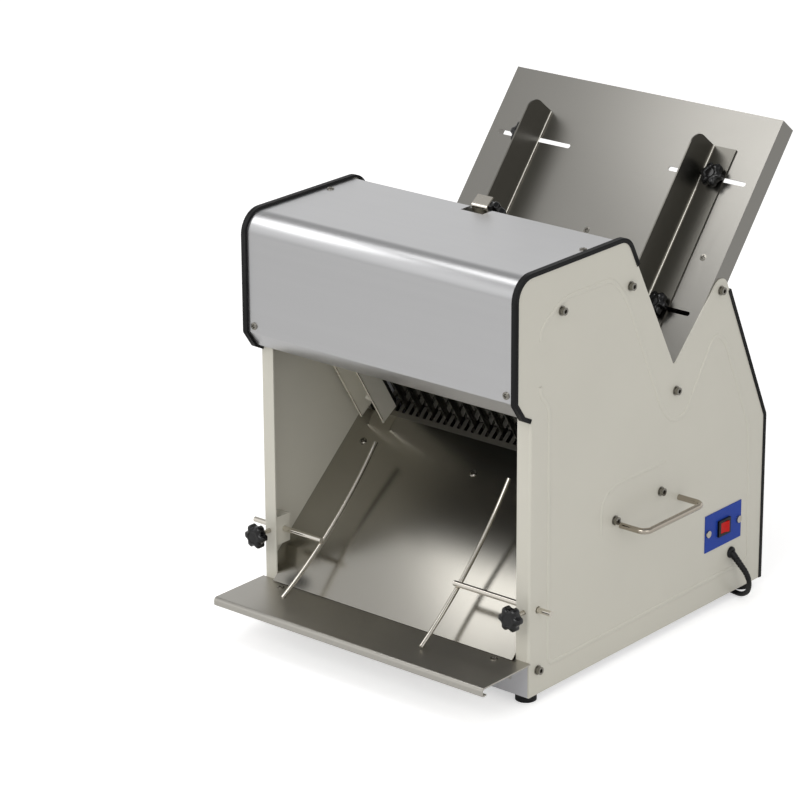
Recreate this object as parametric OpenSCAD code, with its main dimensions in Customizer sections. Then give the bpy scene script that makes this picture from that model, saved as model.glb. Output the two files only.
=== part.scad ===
// Countertop bread slicer: painted sheet-steel body, stainless hood, two reciprocating blade frames,
// a sloped feed plate behind and a sloped outfeed chute in front.
// X runs across the machine, Y from front to rear and Z up from the floor, in millimetres.
// Pieces are drawn with y = 0 at the front flanges and z = 0 at the bottom edge of the side panels.
// seat() then lifts them onto the feet and centres them from front to rear.

/* [Body] */
// Width across the outer faces of the side panels
body_w = 450; // [430:1:520]
// Depth of the side panels from the front flange to the rear edge
body_d = 514; // [505:1:560]
// Thickness of the side panel sheet
panel_t = 2; // [1.5:0.1:3]
// Width of the front flanges of the side panels
flange_w = 21; // [18:0.5:30]
// Outer radius of the bend between a side panel and its front flange
bend_r = 4; // [3:0.25:5]
// Width of the side panels' flanges under the hood
hood_flange_w = 24; // [22:0.5:30]
// Height of the rear bend of the side panels
rear_bend_z = 239; // [200:1:260]
// Thickness of the rear cover and base pan sheet
base_t = 2; // [1:0.1:3]
// Height of the upturned side and rear edges of the base pan
base_edge = 44; // [43:1:60]
// Radius of the rounded nose behind the feed plate
tongue_r = 16; // [12:0.5:20]

/* [Feet] */
// Height of a foot
foot_h = 12; // [10:0.5:20]
// Radius of a foot
foot_r = 14; // [9:0.5:18]
// Distance of a foot centre from the panel ends and outer faces
foot_inset = 19; // [19:0.5:30]

/* [Hood] */
// Height of the hood top above the panel bottom
hood_h = 565; // [560:1:600]
// Forward overhang of the hood
hood_out = 29; // [26:1:50]
// Height of the underside of the hood at the front flange
chin_z = 376.5; // [350:0.5:385]
// Forward run of the shallow part of the chin
chin_run = 14; // [10:0.5:18]
// Rise of the shallow part of the chin
chin_rise = 7; // [4:0.5:10]
// Rise of the hood's sloped lip
lip_rise = 21.5; // [15:0.5:30]
// Depth position of the rear top corner
hood_rear_y = 197; // [190:1:210]
// Radius of the front top bend
hood_r = 29; // [15:1:40]
// Radius of the rear top corner of the side panels
hood_rear_r = 26; // [8:1:30]
// Thickness of the hood sheet
hood_t = 1.5; // [0.8:0.1:2]
// Distance of the hood's rear edge in front of the rear top corner
hood_edge_in = 16; // [14.5:0.5:18]
// Width of the notch in the hood's rear edge
notch_w = 36; // [30:1:80]
// Depth of the notch in the hood's rear edge
notch_d = 20; // [14:0.5:30]
// Width of the edge trim along the hood
trim_w = 6; // [4:0.5:8]
// Height of the edge trim above the panel edge
trim_t = 3.5; // [2:0.5:5]
// Width of the trims' lap over the outer face of the panel
trim_lap = 2.5; // [1:0.5:4]
// Width of the edge trim along the rear edge
rear_trim_w = 4.5; // [3:0.5:6]
// Length of the hood trim down the feed opening
trim_tail = 46; // [20:1:80]

/* [Feed plate] */
// Depth position of the bottom of the feed opening in the side panels
vee_y = 301.4; // [295:0.2:310]
// Height of the bottom of the feed opening
vee_z = 366; // [355:1:375]
// Slope of the feed plate
feed_angle = 51; // [48:0.5:54]
// Depth of the feed plate below the bottom of the opening
feed_sink = 10; // [6:0.5:14]
// Length of the feed plate above the opening's bottom
feed_above = 366; // [350:1:400]
// Length of the feed plate below the opening's bottom
feed_below = 34; // [30:1:38]
// Thickness of the feed plate
feed_t = 1.5; // [1:0.1:2.5]
// Depth of the feed plate's side flanges
feed_flange = 30; // [28:0.5:34]
// Distance of the upper slots from the top edge
slot_top = 99; // [80:1:120]
// Distance of the lower slots from the top edge
slot_low = 290; // [280:1:300]
// Distance of the slots' inner ends from the centre
slot_in = 83; // [70:1:90]
// Distance of the slots' outer ends from the centre
slot_out = 208; // [203:0.5:209]
// Distance of the cross brace from the top edge
brace_down = 210; // [190:1:220]
// Leg of the cross brace
brace_leg = 20; // [14:0.5:26]

/* [Infeed guides] */
// Distance of a fence from the centre at rest
fence_x = 136; // [125:1:140]
// Height of a fence above the feed plate
fence_h = 54; // [40:1:64]
// Width of a guide's foot
guide_foot = 38; // [34:0.5:40]
// Thickness of the guide sheet
guide_t = 2; // [1.5:0.1:3]
// Length of a guide
guide_len = 300; // [290:1:310]
// Distance of a guide's top end from the plate's top edge
guide_top = 55; // [45:1:60]
// Radius of a fence's free corner
fence_r = 22; // [10:1:30]
// Distance of the clamping knobs from the fence
guide_knob_in = 24; // [20:0.5:28]

/* [Knobs] */
// Outer radius of a star knob
knob_r = 17; // [13:0.5:19]
// Thickness of a star knob
knob_h = 13; // [10:0.5:20]
// Number of lobes of a star knob
knob_lobes = 6; // [5:1:8]
// Radius of a knob's hub
hub_r = 6; // [4.5:0.5:8]
// Length of the hub of a clamp knob
hub_h = 8; // [6:0.5:14]
// Length of bare stud between a clamp knob and its flange
clamp_stand = 13; // [8:0.5:16]
// Length of the hub of the hold-down knob
hold_hub_h = 13; // [8:0.5:20]
// Length of the hub of an infeed knob
low_hub_h = 4; // [2:0.5:8]
// Radius of a knob's stud
stud_r = 3; // [2.5:0.1:3.5]

/* [Outfeed] */
// Height of the tray top above the panel bottom
tray_z = 49; // [49:1:60]
// Depth of the tray in front of the flanges
tray_d = 98; // [80:1:120]
// Overhang of the tray beyond the side panels
tray_over = 3; // [0:0.5:8]
// Thickness of the tray sheet
tray_t = 2; // [1:0.1:2]
// Height of the tray's folded front lip
tray_lip = 12; // [8:0.5:20]
// Bend radius of the tray's front edge
tray_r = 5; // [3:0.5:5.5]
// Thickness of the chute plate
chute_t = 1.5; // [1:0.1:2.5]
// Depth position of the chute's foot
chute_foot_y = -8; // [-12:0.5:-4]
// Length of the slotted end of the chute
comb_len = 26; // [24:0.5:56]
// Length of the slots in the combs
comb_slot = 17; // [14:0.5:22]
// Width of the slots in the outfeed comb
comb_slot_w = 6; // [3:0.5:7]
// Width of the slots in the infeed comb
back_slot_w = 4; // [3:0.5:7]
// Overlap of the straps that carry the combs
strap = 18; // [10:0.5:24]

/* [Outfeed guides] */
// Radius of a guide's cross rod
rod_r = 3.75; // [3:0.25:4.5]
// Room round the cross rods in the side panels
rod_room = 1.2; // [0.5:0.1:2]
// Radius of a guide's bent wire
wire_r = 3; // [2:0.25:3.5]
// Depth position of the cross rods
rod_y = 18; // [16:0.5:20]
// Height of the cross rods above the tray
rod_up = 68; // [62:1:80]
// Distance of the left wire from the centre at rest
left_wire_x = 142; // [120:1:150]
// Distance of the right wire from the centre at rest
right_wire_x = 92; // [85:1:120]
// Outward reach of the left rod beyond its panel
left_reach = 33; // [30:1:40]
// Outward reach of the right rod beyond its panel
right_reach = 21; // [21:1:40]
// Chord of the bent wire
wire_len = 252; // [230:1:260]
// Sag of the bent wire under its chord
wire_sag = 11.5; // [8:0.5:14]
// Slope of the left wire
wire_slope = 40.5; // [39:0.5:42]
// Slope of the right wire
right_wire_slope = 44.5; // [42:0.5:44.5]
// Distance from the wire's lower end to the cross rod along the chord
wire_rod_at = 96; // [90:1:110]
// Width of a clamp block
block_w = 18; // [16:0.5:36]
// Depth of a clamp block
block_d = 27; // [26:0.5:36]
// Height of a clamp block
block_h = 40; // [24:1:44]
// Distance of the clamp stud from the panel's outer face
clamp_in = 9; // [7:0.5:12]

/* [Blade drive] */
// Distance along the feed slope from the opening's bottom to the blades
blade_down = 140; // [134:1:152]
// Slope of the blades from the horizontal
blade_angle = 58; // [56:0.5:60]
// Least distance of an end blade from the side of its frame
blade_edge = 6; // [5:0.5:8]
// Spacing of the blades
blade_pitch = 12; // [10:0.5:12]
// Thickness of a blade
blade_t = 0.6; // [0.4:0.1:1]
// Depth of a blade and of its frame
blade_w = 10; // [8:0.5:11]
// Gap between the two blade frames
frame_gap = 1; // [0.6:0.1:2]
// Width of a frame's bars
bar_w = 17; // [12:0.5:18]
// Clear width inside a frame
frame_in = 380; // [378:1:384]
// Distance of the frames' top bars under the hood, along the blades
blade_drop = 116; // [112:1:140]
// Reach of the blades below the feed slope
blade_low = 74; // [64:1:76]
// Stroke of the blade frames
stroke = 16; // [10:1:16]
// Length of a connecting rod's neck
con_neck = 28; // [24:0.5:30]
// Radius of the crankshaft
shaft_r = 10; // [8:0.5:11]
// Radius of an eccentric
ecc_r = 21; // [20:0.5:24]
// Radius of the wrist pins
wrist_r = 4; // [3:0.5:4.5]
// Distance of a connecting rod from the centre
con_x = 30; // [26:1:60]
// Thickness of a connecting rod
con_t = 12; // [8:0.5:14]
// Wall of the connecting rods
con_wall = 6; // [5:0.5:7]
// Radius of the driven pulley
pulley_r = 46; // [40:1:48]
// Radius of the motor pulley
small_pulley_r = 18; // [14:1:20]
// Width of the belt
belt_w = 18; // [10:1:20]
// Thickness of the belt
belt_t = 4; // [3:0.5:5]
// Distance of the belt from the centre
belt_x = 160; // [150:1:170]
// Distance of the bearing housings from the centre
bearing_x = 95; // [85:1:110]
// Thickness of a bearing housing
bearing_t = 22; // [16:1:26]
// Distance of the motor's axis in front of the crank
motor_fore = 110; // [105:1:112]
// Height of the motor axis above the base
motor_z = 75; // [70:1:85]
// Radius of the motor
motor_r = 52; // [45:1:55]
// Length of the motor
motor_len = 170; // [140:1:180]

/* [Hold-down] */
// Distance of the rear plate inside the panel edge
box_in = 14; // [13:0.5:15]
// Length of the rear plate of the blade box
box_len = 145; // [120:1:150]
// Thickness of the rear plate
box_t = 1.5; // [1:0.1:2]
// Depth of the rear plate's end flanges
box_flange = 24; // [18:0.5:30]
// Width of the hold-down strip
strip_w = 25; // [24:1:40]
// Thickness of the hold-down strip
strip_t = 2; // [1.5:0.1:2.5]
// Height of the strip's neck above the rear plate
strip_neck = 7; // [6:0.5:12]
// Length of the strip's bent finger tab
strip_tab = 17; // [10:0.5:24]
// Length of the strip's presser foot
strip_foot = 26; // [15:0.5:35]
// Reach of the strip past the rear plate's lower end
strip_past = 10; // [8:0.5:20]
// Distance of the hold-down knob from the rear plate's top
hold_knob_down = 20; // [18:0.5:24]

/* [Handles] */
// Radius of a lift handle's bar
handle_r = 4; // [3:0.25:6]
// Stand-off of a lift handle from the panel
handle_out = 40; // [34:0.5:40]
// Distance between the legs of a lift handle
handle_span = 128; // [110:1:132]
// Depth position of the middle of a lift handle
handle_y = 255; // [250:1:260]
// Height of a lift handle
handle_z = 178; // [165:1:180]
// Bend radius of a lift handle
handle_bend = 12; // [8:0.5:16]

/* [Switch] */
// Length of the switch plate
plate_l = 83; // [70:1:90]
// Height of the switch plate
plate_h = 53; // [44:1:58]
// Thickness of the switch plate
plate_t = 1.2; // [0.8:0.1:2]
// Distance of the switch in front of the rear edge
switch_in = 92; // [85:1:100]
// Height of the switch
switch_z = 104; // [100:1:112]
// Length of the switch bezel
bezel_l = 27; // [26:0.5:30]
// Height of the switch bezel
bezel_h = 23; // [22:0.5:26]
// Height of the switch bezel above the plate
bezel_t = 3; // [2:0.25:4]
// Radius of the rocker's rolling body
rocker_r = 9.5; // [8:0.25:9.5]
// Height of the rocker along its pivot
rocker_h = 15; // [12:0.5:16]
// Tilt of the rocker to either side
rocker_tilt = 10; // [6:1:14]
// Depth of the switch housing inside the panel
housing_d = 16; // [14:0.5:20]

/* [Fasteners] */
// Radius of the hexagon bolts
bolt_r = 3; // [2.5:0.1:3.5]
// Height of a bolt head
head_h = 5; // [3:0.25:6]
// Radius of the nuts over their corners
head_r = 5.8; // [5:0.1:6.5]
// Radius of the bolt heads
cap_r = 5.2; // [4.5:0.1:6]
// Radius of the bolts' sockets over their corners
socket_r = 3; // [2:0.1:3.5]
// Depth of the bolts' sockets
socket_d = 3; // [2:0.25:3.5]
// Radius of the washers
washer_r = 6.5; // [6.5:0.1:7.5]
// Thickness of the washers
washer_t = 1.2; // [0.8:0.1:1.6]
// Radius of the tie rods
tie_r = 6; // [5:0.25:6.5]
// Radius of the sheet screws
screw_r = 2; // [1.5:0.1:2.5]
// Radius of a sheet screw's head
screw_head_r = 5; // [3.5:0.1:5.5]
// Height of a sheet screw's head
screw_head_h = 2.2; // [1.5:0.1:3]
// Length of a sheet screw under its head
screw_len = 9; // [8:0.5:12]

/* [Cord] */
// Diameter of the power cord
cord_d = 7; // [6:0.25:7]
// Distance of the cord outlet from the rear edge
gland_in = 71.6; // [66:0.2:82]
// Height of the cord outlet above the panel bottom
gland_z = 60; // [55:1:64]
// Radius of the cord outlet's disc
gland_r = 8; // [7:0.5:9]
// Thickness of the cord outlet's disc
gland_t = 4; // [3:0.25:5]
// Smallest radius of the coil's turns
coil_r = 28; // [28:0.5:32]
// Spacing of the coil's turns and layers
coil_pitch = 7.6; // [7.5:0.1:9]
// Number of turns of the coil
coil_turns = 5.5; // [5.5:2:9.5]
// Radius of the plug's body
plug_r = 12; // [10:0.25:12]
// Length of the plug's body
plug_len = 32; // [28:1:36]
// Length of the plug's pins
pin_len = 18; // [14:0.5:19]

/* [Fits] */
// Radial clearance of shafts and pins in their bores
run_fit = 0.05; // [0.02:0.01:0.1]
// Radial clearance of bolts and screws in their holes
hole_fit = 0.2; // [0.1:0.05:0.4]
// Clearance between sliding faces
slide_fit = 0.3; // [0.2:0.05:0.5]

/* [Bolt positions] */
// Distance of the feed plate's upper bolt above the opening's bottom
tongue_up = 124; // [118:1:130]
// Depth of the feed plate's upper bolt under the plate
tongue_back = 20; // [16:0.5:22]
// Distance of the feed plate's lower bolt below the opening's bottom
vee_bolt_down = 24; // [20:0.5:26]
// Depth of the feed plate's lower bolt under the plate
vee_bolt_back = 16; // [12:0.5:20]
// Distance of the top tie rod above the blades' top ends
top_tie_up = 46; // [38:0.5:50]
// Distance of the top tie in front of the blades
top_tie_fore = 1.5; // [0:0.5:6]
// Distance of the rear tie rod down the rear plate
rear_tie_down = 60; // [56:1:72]
// Distance of the chute tie rod in front of the blades
chute_tie_front = 73; // [60:1:80]
// Distance of the chute tie rod below the chute
chute_tie_under = 18; // [14:0.5:22]
// Distance of the lower tie rod behind the blades
low_tie_back = 20.5; // [20.5:0.5:32]
// Distance of the base bolts from the front flange
base_bolt_y = 18; // [16:0.5:30]
// Height of the base bolts
base_bolt_z = 34; // [20:0.5:36]

/* [Screw positions] */
// Distance of the hood screws from the panels' outer faces
hood_screw_in = 16; // [14:0.5:19]
// Height of the front hood screws above the lip
hood_screw_up = 9.5; // [8:0.5:30]
// Depth position of the top hood screws
hood_screw_y = 124; // [60:1:135]
// Distance of the tray screws from the centre
tray_screw_x = 182; // [150:1:200]
// Distance of the tray screws in front of the flanges
tray_screw_y = 17; // [12:0.5:22]
// Distance of the side chute screws from the centre
chute_screw_x = 192; // [150:1:200]
// Distance of the chute screws in front of the blades
chute_screw_front = 74; // [68:0.5:84]
// Distance of the side brace screws from the centre
brace_screw_x = 192; // [150:1:205]

/* [Small sizes] */
// Distance of the hood flanges' rear end behind the front flange
hood_flange_y = 150; // [140:1:165]
// Side overhang of the edge trims beyond the panels
trim_side = 1.2; // [0.5:0.1:1.5]
// Distance of the rear trim's start from the nose
trim_start = 12; // [8:0.5:20]
// Height of the rear edge trim
rear_trim_t = 3; // [2:0.5:4]
// Distance of the rear cover's top edge from the nose
cover_start = 16; // [14:0.5:30]
// Depth of the threaded bores in the tie rods
tie_bore = 14; // [12:0.5:20]
// Thickness of the hexagon nuts
nut_t = 5; // [4:0.25:6]
// Depth of the tray's tongue behind the flanges
tray_tongue = 16; // [8:0.5:16]
// Width of the tray's folded hem
tray_hem = 9; // [5:0.5:14]
// Width of a tray bracket
bracket_w = 30; // [20:1:40]
// Forward reach of a tray bracket
bracket_d = 30; // [24:1:40]
// Height of a tray bracket
bracket_h = 27; // [18:1:36]
// Radius of the scallops between a knob's lobes
scallop_r = 6.5; // [4:0.5:7]
// Depth of the scallops between a knob's lobes
scallop_d = 3.5; // [2:0.5:4]
// Width of the upright channels in front of the blade frames
rail_w = 41; // [20:0.5:46]
// Distance of the upright channels from the centre
rail_x = 168.5; // [160:0.5:176]
// Height of the upright channels
rail_len = 200; // [120:1:220]
// Depth of the upright channels
rail_d = 31; // [14:0.5:34]
// Height of the upright channels' lower ends above the chute
rail_up = 3; // [2:0.5:12]
// Height of the catch on each upright channel
catch_up = 46; // [20:1:120]
// Size of the catch on each upright channel
catch_w = 12; // [6:0.5:16]
// Wall of the frames' guide channels
channel_t = 3; // [2:0.25:3]
// Radius of a lug's end behind its wrist pin
lug_end = 8; // [7:0.5:9]
// Thickness of a lug
lug_t = 5; // [4:0.5:7]
// Gap between a lug and the connecting rod
lug_gap = 1; // [0.6:0.1:2]
// Height of the pulley flanges above the belt
pulley_rim = 1; // [0.6:0.1:2]
// Thickness of the pulley flanges
pulley_flange = 2; // [1.5:0.25:3]
// Radius of the motor shaft
motor_shaft_r = 8; // [6:0.5:9]
// Length of the motor shaft inside the motor
motor_bore = 40; // [30:1:60]
// Distance of the motor's end from the belt
motor_gap = 18; // [16:0.5:24]
// Half depth of a bearing housing
bearing_half = 26; // [20:1:28]
// Half depth of the motor cradle
cradle_half = 40; // [30:1:44]
// Thickness of the motor cradle's plates
cradle_t = 8; // [5:0.5:10]
// Distance of the cradle's plates from the motor's ends
cradle_in = 22; // [12:1:30]
// Half width of an infeed guide's square nuts
guide_nut = 6; // [5:0.25:7]
// Half length of the hold-down strip's saddle
saddle_half = 8; // [6:0.5:9]
// Wall of the hold-down strip's saddle
saddle_t = 2; // [1.5:0.1:2.5]
// Angle of the finger tab from the horizontal
tab_angle = 37; // [30:1:45]
// Height of the rocker's middle above its pivot
rocker_mid = 3.7; // [3:0.1:4]
// Depth of the rocker's pivot under the bezel's face
pivot_in = 4; // [3.5:0.1:4.5]
// Radius of the rocker's pivot pins
pivot_r = 1.5; // [1:0.1:2]
// Length of the rocker's pivot pins
pivot_len = 1.4; // [1.2:0.1:1.5]
// Wall between the bezel's edge and the switch body
bezel_lip = 2; // [1.5:0.1:2.2]
// Distance of the switch screws from the plate's ends
plate_screw_in = 6; // [5:0.5:9]
// Radius of the cord outlet's neck in the panel
gland_neck_r = 6; // [5:0.25:6.5]
// Radius of the cord outlet's nose
gland_nose_r = 4.6; // [4.3:0.1:5]
// Length of the cord outlet's nose
gland_nose_len = 22; // [20:0.5:23]
// Thickness of the cord tie
tie_t = 1; // [0.6:0.1:1.3]
// Width of the cord tie
cord_tie_w = 6; // [4:0.5:10]
// Length of the plug's strain relief
relief_len = 34; // [30:0.5:45]
// Radius of the plug's sleeve
relief_r = 4; // [3.8:0.1:4.1]
// Radius of the plug's pins
pin_r = 2; // [1.5:0.1:2.5]
// Distance of the plug's pins from its axis
pin_x = 6.5; // [5:0.25:7]

/* [Hidden] */
$fn = 48;
// Segments of a drawn bend and of the belt's bends, and overlap of cutting tools
bend_steps = 8;
belt_steps = 48;
full_turn = 360;
cut = 1;
// Small bend radii of the sheet outlines
chin_r = 4;
vee_r = 5;
rear_r = 10;
hem_r = 3;

// Plane of each inner and outer panel face
wall_x = body_w / 2;
inner_x = wall_x - panel_t;
flange_in = wall_x - flange_w;
hood_flange_in = wall_x - hood_flange_w;

// Feed slope: its foot at the bottom of the opening, its direction up the slope and its normal
vee = [vee_y, vee_z];
feed_dir = [cos(feed_angle), sin(feed_angle)];
feed_nor = [-sin(feed_angle), cos(feed_angle)];
feed_foot = vee - feed_sink * feed_nor;
function feed_point(up, out) = feed_foot + up * feed_dir + out * feed_nor;

// Blade plane: where it meets the feed slope, its direction up the blades and its normal to the rear
blade_foot = feed_point(-blade_down, 0);
blade_dir = [-cos(blade_angle), sin(blade_angle)];
blade_nor = [sin(blade_angle), cos(blade_angle)];
// Height of the frames' top bars along the blades
blade_up = (hood_h - blade_foot[1]) / sin(blade_angle) - blade_drop;
function blade_point(up, back) = blade_foot + up * blade_dir + back * blade_nor;

// Chute slope, from its foot on the tray up to the blades
chute_foot = [chute_foot_y, tray_z + chute_t];
chute_angle = atan2(blade_foot[1] - chute_foot[1], blade_foot[0] - chute_foot[0]);
chute_len = norm(blade_foot - chute_foot);
chute_dir = [cos(chute_angle), sin(chute_angle)];
chute_nor = [-sin(chute_angle), cos(chute_angle)];
function chute_point(up, out) = chute_foot + up * chute_dir + out * chute_nor;

// Rear slope of the blade box, from the rear top corner down to the bottom of the opening
box_top = [hood_rear_y, hood_h];
box_angle = atan2(hood_h - vee_z, vee_y - hood_rear_y);
box_dir = [cos(box_angle), -sin(box_angle)];
box_nor = [sin(box_angle), cos(box_angle)];
function box_point(down, out) = box_top + down * box_dir + out * box_nor;

// Middle of the machine from front to rear
feed_rear_y = feed_point(feed_above, -feed_flange)[0];
mid_y = (feed_rear_y - tray_d) / 2;

// Bolt centres on a side panel
tongue = feed_point(tongue_up, -tongue_back);
vee_bolt = feed_point(-vee_bolt_down, -vee_bolt_back);
base_bolt = [base_bolt_y, base_bolt_z];
top_tie = blade_point(blade_up + top_tie_up, -top_tie_fore);
strip_back = box_in + box_t + strip_t + 2 * slide_fit;
rear_tie = box_point(rear_tie_down, -strip_back - tie_r - slide_fit);
chute_tie = chute_point(chute_len - chute_tie_front, -chute_tie_under);
low_tie = blade_point(-blade_low, low_tie_back);
tie_spots = [top_tie, rear_tie, chute_tie, low_tie];
nut_spots = [tongue, vee_bolt, base_bolt];
bolt_spots = concat(tie_spots, nut_spots);

// Outlines
function unit(v) = v / norm(v);
function reversed(list) = [for (k = [len(list) - 1:-1:0]) list[k]];
function arc(centre, r, from, to, steps = bend_steps) =
    [for (k = [0:steps])
        let (a = from + (to - from) * k / steps)
        centre + r * [cos(a), sin(a)]];
function short_turn(a) = a > 180 ? a - 360 : a < -180 ? a + 360 : a;
// Arc of radius r that rounds the corner b between a and c
function fillet(a, b, c, r) =
    let (u = unit(a - b), w = unit(c - b))
    let (half = acos(u * w) / 2)
    let (centre = b + unit(u + w) * r / sin(half))
    let (start = b + u * r / tan(half) - centre, stop = b + w * r / tan(half) - centre)
    let (from = atan2(start[1], start[0]))
    arc(centre, r, from, from + short_turn(atan2(stop[1], stop[0]) - from));
function left_of(v) = [-v[1], v[0]];
function miter(u, w) = (left_of(u) + left_of(w)) / (1 + u * w);
// Path moved d to its left, with mitred corners
function beside(path, d) =
    let (last = len(path) - 1)
    [for (k = [0:last])
        let (ahead = unit(path[min(k + 1, last)] - path[min(k, last - 1)]))
        let (behind = unit(path[max(k, 1)] - path[max(k - 1, 0)]))
        path[k] + d * miter(behind, ahead)];
// Closed outline of a sheet between two offsets of a path
function sheet(path, from, to) = concat(beside(path, from), reversed(beside(path, to)));

// Side panel outline, clockwise from the chin
chin = [0, chin_z];
chin_bend = [-chin_run, chin_z + chin_rise];
lip_top = [-hood_out, chin_z + chin_rise + lip_rise];
front_top = [-hood_out, hood_h];
rear_bend = [body_d, rear_bend_z];
rear_foot = [body_d, 0];
to_tongue = tongue - vee;
up_angle = atan2(to_tongue[1], to_tongue[0]) + asin(tongue_r / norm(to_tongue)) + 90;
from_rear = tongue - rear_bend;
down_angle = atan2(from_rear[1], from_rear[0]) - asin(tongue_r / norm(from_rear)) - 90;
tongue_arc = arc(tongue, tongue_r, up_angle, down_angle);
tongue_end = tongue_arc[bend_steps];
hood_front = concat([chin, chin_bend], fillet(chin_bend, lip_top, front_top, chin_r),
                    fillet(lip_top, front_top, box_top, hood_r));
rear_top = fillet(front_top, box_top, vee, hood_rear_r);
rear_line = concat([tongue_end + trim_start * unit(rear_bend - tongue_end)],
                   fillet(tongue_end, rear_bend, rear_foot, rear_r), [rear_foot]);
panel_outline = concat([[0, 0]], hood_front, rear_top, fillet(box_top, vee, tongue_arc[0], vee_r), tongue_arc,
                       fillet(tongue_end, rear_bend, rear_foot, rear_r), [rear_foot]);

// Pieces placed across the machine or in one of its sloped planes
module seat() { translate([0, -mid_y, foot_h]) children(); }
module across(x0, x1) { translate([x0, 0, 0]) rotate([90, 0, 90]) linear_extrude(x1 - x0) children(); }
module both_sides() {
    children();
    mirror([1, 0, 0]) children();
}
module on_side(side) { if (side < 0) mirror([1, 0, 0]) children(); else children(); }
module slope(point, angle) { translate([0, point[0], point[1]]) rotate([angle, 0, 0]) children(); }
module feed_space() { seat() slope(feed_foot, feed_angle) children(); }
module blade_space() { seat() slope(blade_foot, 90 - blade_angle) children(); }
module chute_space() { seat() slope(chute_foot, chute_angle) children(); }
module box_space() { seat() slope(box_top, -box_angle) children(); }
// Round bar along X through a point of the side view
module bar(point, r, x0, x1) {
    translate([x0, point[0], point[1]]) rotate([0, 90, 0]) cylinder(r = r, h = x1 - x0);
}
// Block between two corners
module block(from, to) { translate(from) cube(to - from); }

// Body
rod_z = tray_z + rod_up;
rod_spot = [rod_y, rod_z];
clamp_x = wall_x - clamp_in;
switch_y = body_d - switch_in;
gland_y = body_d - gland_in;
hood_screw_x = wall_x - hood_screw_in;
hood_screw_z = lip_top[1] + hood_screw_up;
hood_edge_y = hood_rear_y - hood_edge_in;
hood_profile = concat(hood_front, [[hood_edge_y, hood_h]]);
hood_bends = concat(fillet(chin_bend, lip_top, front_top, chin_r),
                    fillet(lip_top, front_top, box_top, hood_r));
hood_flange_line = concat(hood_bends, [[hood_flange_y, hood_h]]);
trim_line = concat(hood_front, rear_top, [box_point(trim_tail, 0)]);
cover_line = concat([tongue_end + cover_start * unit(rear_bend - tongue_end)],
                    fillet(tongue_end, rear_bend, rear_foot, rear_r), [rear_foot]);

// Holes for the four hood screws of one side
module hood_screw_holes() {
    hole_r = screw_r + hole_fit;
    translate([hood_screw_x, cut - hood_out + hood_t + panel_t, hood_screw_z]) rotate([90, 0, 0])
        cylinder(r = hole_r, h = hood_t + panel_t + 2 * cut);
    translate([hood_screw_x, hood_screw_y, hood_h - hood_t - panel_t - cut])
        cylinder(r = hole_r, h = hood_t + panel_t + 2 * cut);
}

// Waste outside the round bend of the front flange
module front_bend() {
    translate([wall_x - bend_r, bend_r, tray_z - cut]) linear_extrude(chin_z - tray_z + cut) difference() {
        translate([0, -bend_r - cut]) square(bend_r + cut);
        circle(r = bend_r);
    }
}
// One painted side panel with its front flange and the flange under the hood
module side_panel(side) {
    color([0.85, 0.83, 0.76]) seat() on_side(side) difference() {
        union() {
            across(inner_x, wall_x) polygon(panel_outline);
            block([flange_in, 0, tray_z], [wall_x, panel_t, chin_z]);
            across(hood_flange_in, wall_x - panel_t / 2)
                polygon(sheet(hood_flange_line, -hood_t, -hood_t - panel_t));
        }
        for (spot = bolt_spots) {
            bar(spot, bolt_r + hole_fit, inner_x - cut, wall_x + cut);
        }
        bar(rod_spot, rod_r + rod_room, inner_x - cut, wall_x + cut);
        front_bend();
        translate([clamp_x, panel_t + cut, rod_z]) rotate([90, 0, 0])
            cylinder(r = stud_r + hole_fit, h = panel_t + 2 * cut);
        hood_screw_holes();
        if (side > 0) {
            across(inner_x - cut, wall_x + cut) switch_opening();
            bar([gland_y, gland_z], gland_hole_r, inner_x - cut, wall_x + cut);
        }
    }
}
module left_side_panel() { side_panel(-1); }
module right_side_panel() { side_panel(1); }

// Bent stainless hood between the side panels, notched at the middle of its rear edge
module hood_cover() {
    color([0.72, 0.73, 0.74]) seat() difference() {
        across(-inner_x, inner_x) polygon(sheet(hood_profile, 0, -hood_t));
        block([-notch_w / 2, hood_edge_y - notch_d, hood_h - hood_t - cut],
              [notch_w / 2, hood_edge_y + cut, hood_h + cut]);
        both_sides() hood_screw_holes();
    }
}
// Strip along a panel edge that laps over the outer face
module edge_trim(line, width, height) {
    across(wall_x - width, wall_x + trim_side) polygon(sheet(line, 0, height));
    across(wall_x, wall_x + trim_side) polygon(sheet(line, -trim_lap, height));
}
module hood_trims() {
    color([0.06, 0.06, 0.06]) seat() both_sides() edge_trim(trim_line, trim_w, trim_t);
}
module rear_trims() {
    color([0.06, 0.06, 0.06]) seat() both_sides() edge_trim(rear_line, rear_trim_w, rear_trim_t);
}
module rear_cover() {
    color([0.85, 0.83, 0.76]) seat() across(-inner_x, inner_x) polygon(sheet(cover_line, 0, -base_t));
}

// Base pan: floor sheet with upturned edges, the front one closing the space under the tray
module base_pan() {
    rear_y = body_d - base_t;
    color([0.78, 0.78, 0.76]) seat() difference() {
        union() {
            block([-inner_x, 0, 0], [inner_x, rear_y, base_t]);
            block([-inner_x, 0, 0], [inner_x, base_t, tray_z - tray_t]);
            block([-inner_x, rear_y - base_t, 0], [inner_x, rear_y, base_edge]);
            both_sides() block([inner_x - base_t, 0, 0], [inner_x, rear_y, base_edge]);
        }
        both_sides() bar(base_bolt, bolt_r + hole_fit, inner_x - base_t - cut, inner_x + cut);
    }
}
module feet() {
    color([0.08, 0.08, 0.08]) seat()
        for (x = [-1, 1] * (wall_x - foot_inset), y = [foot_inset, body_d - foot_inset])
            translate([x, y, -foot_h]) cylinder(r = foot_r, h = foot_h);
}

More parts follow.
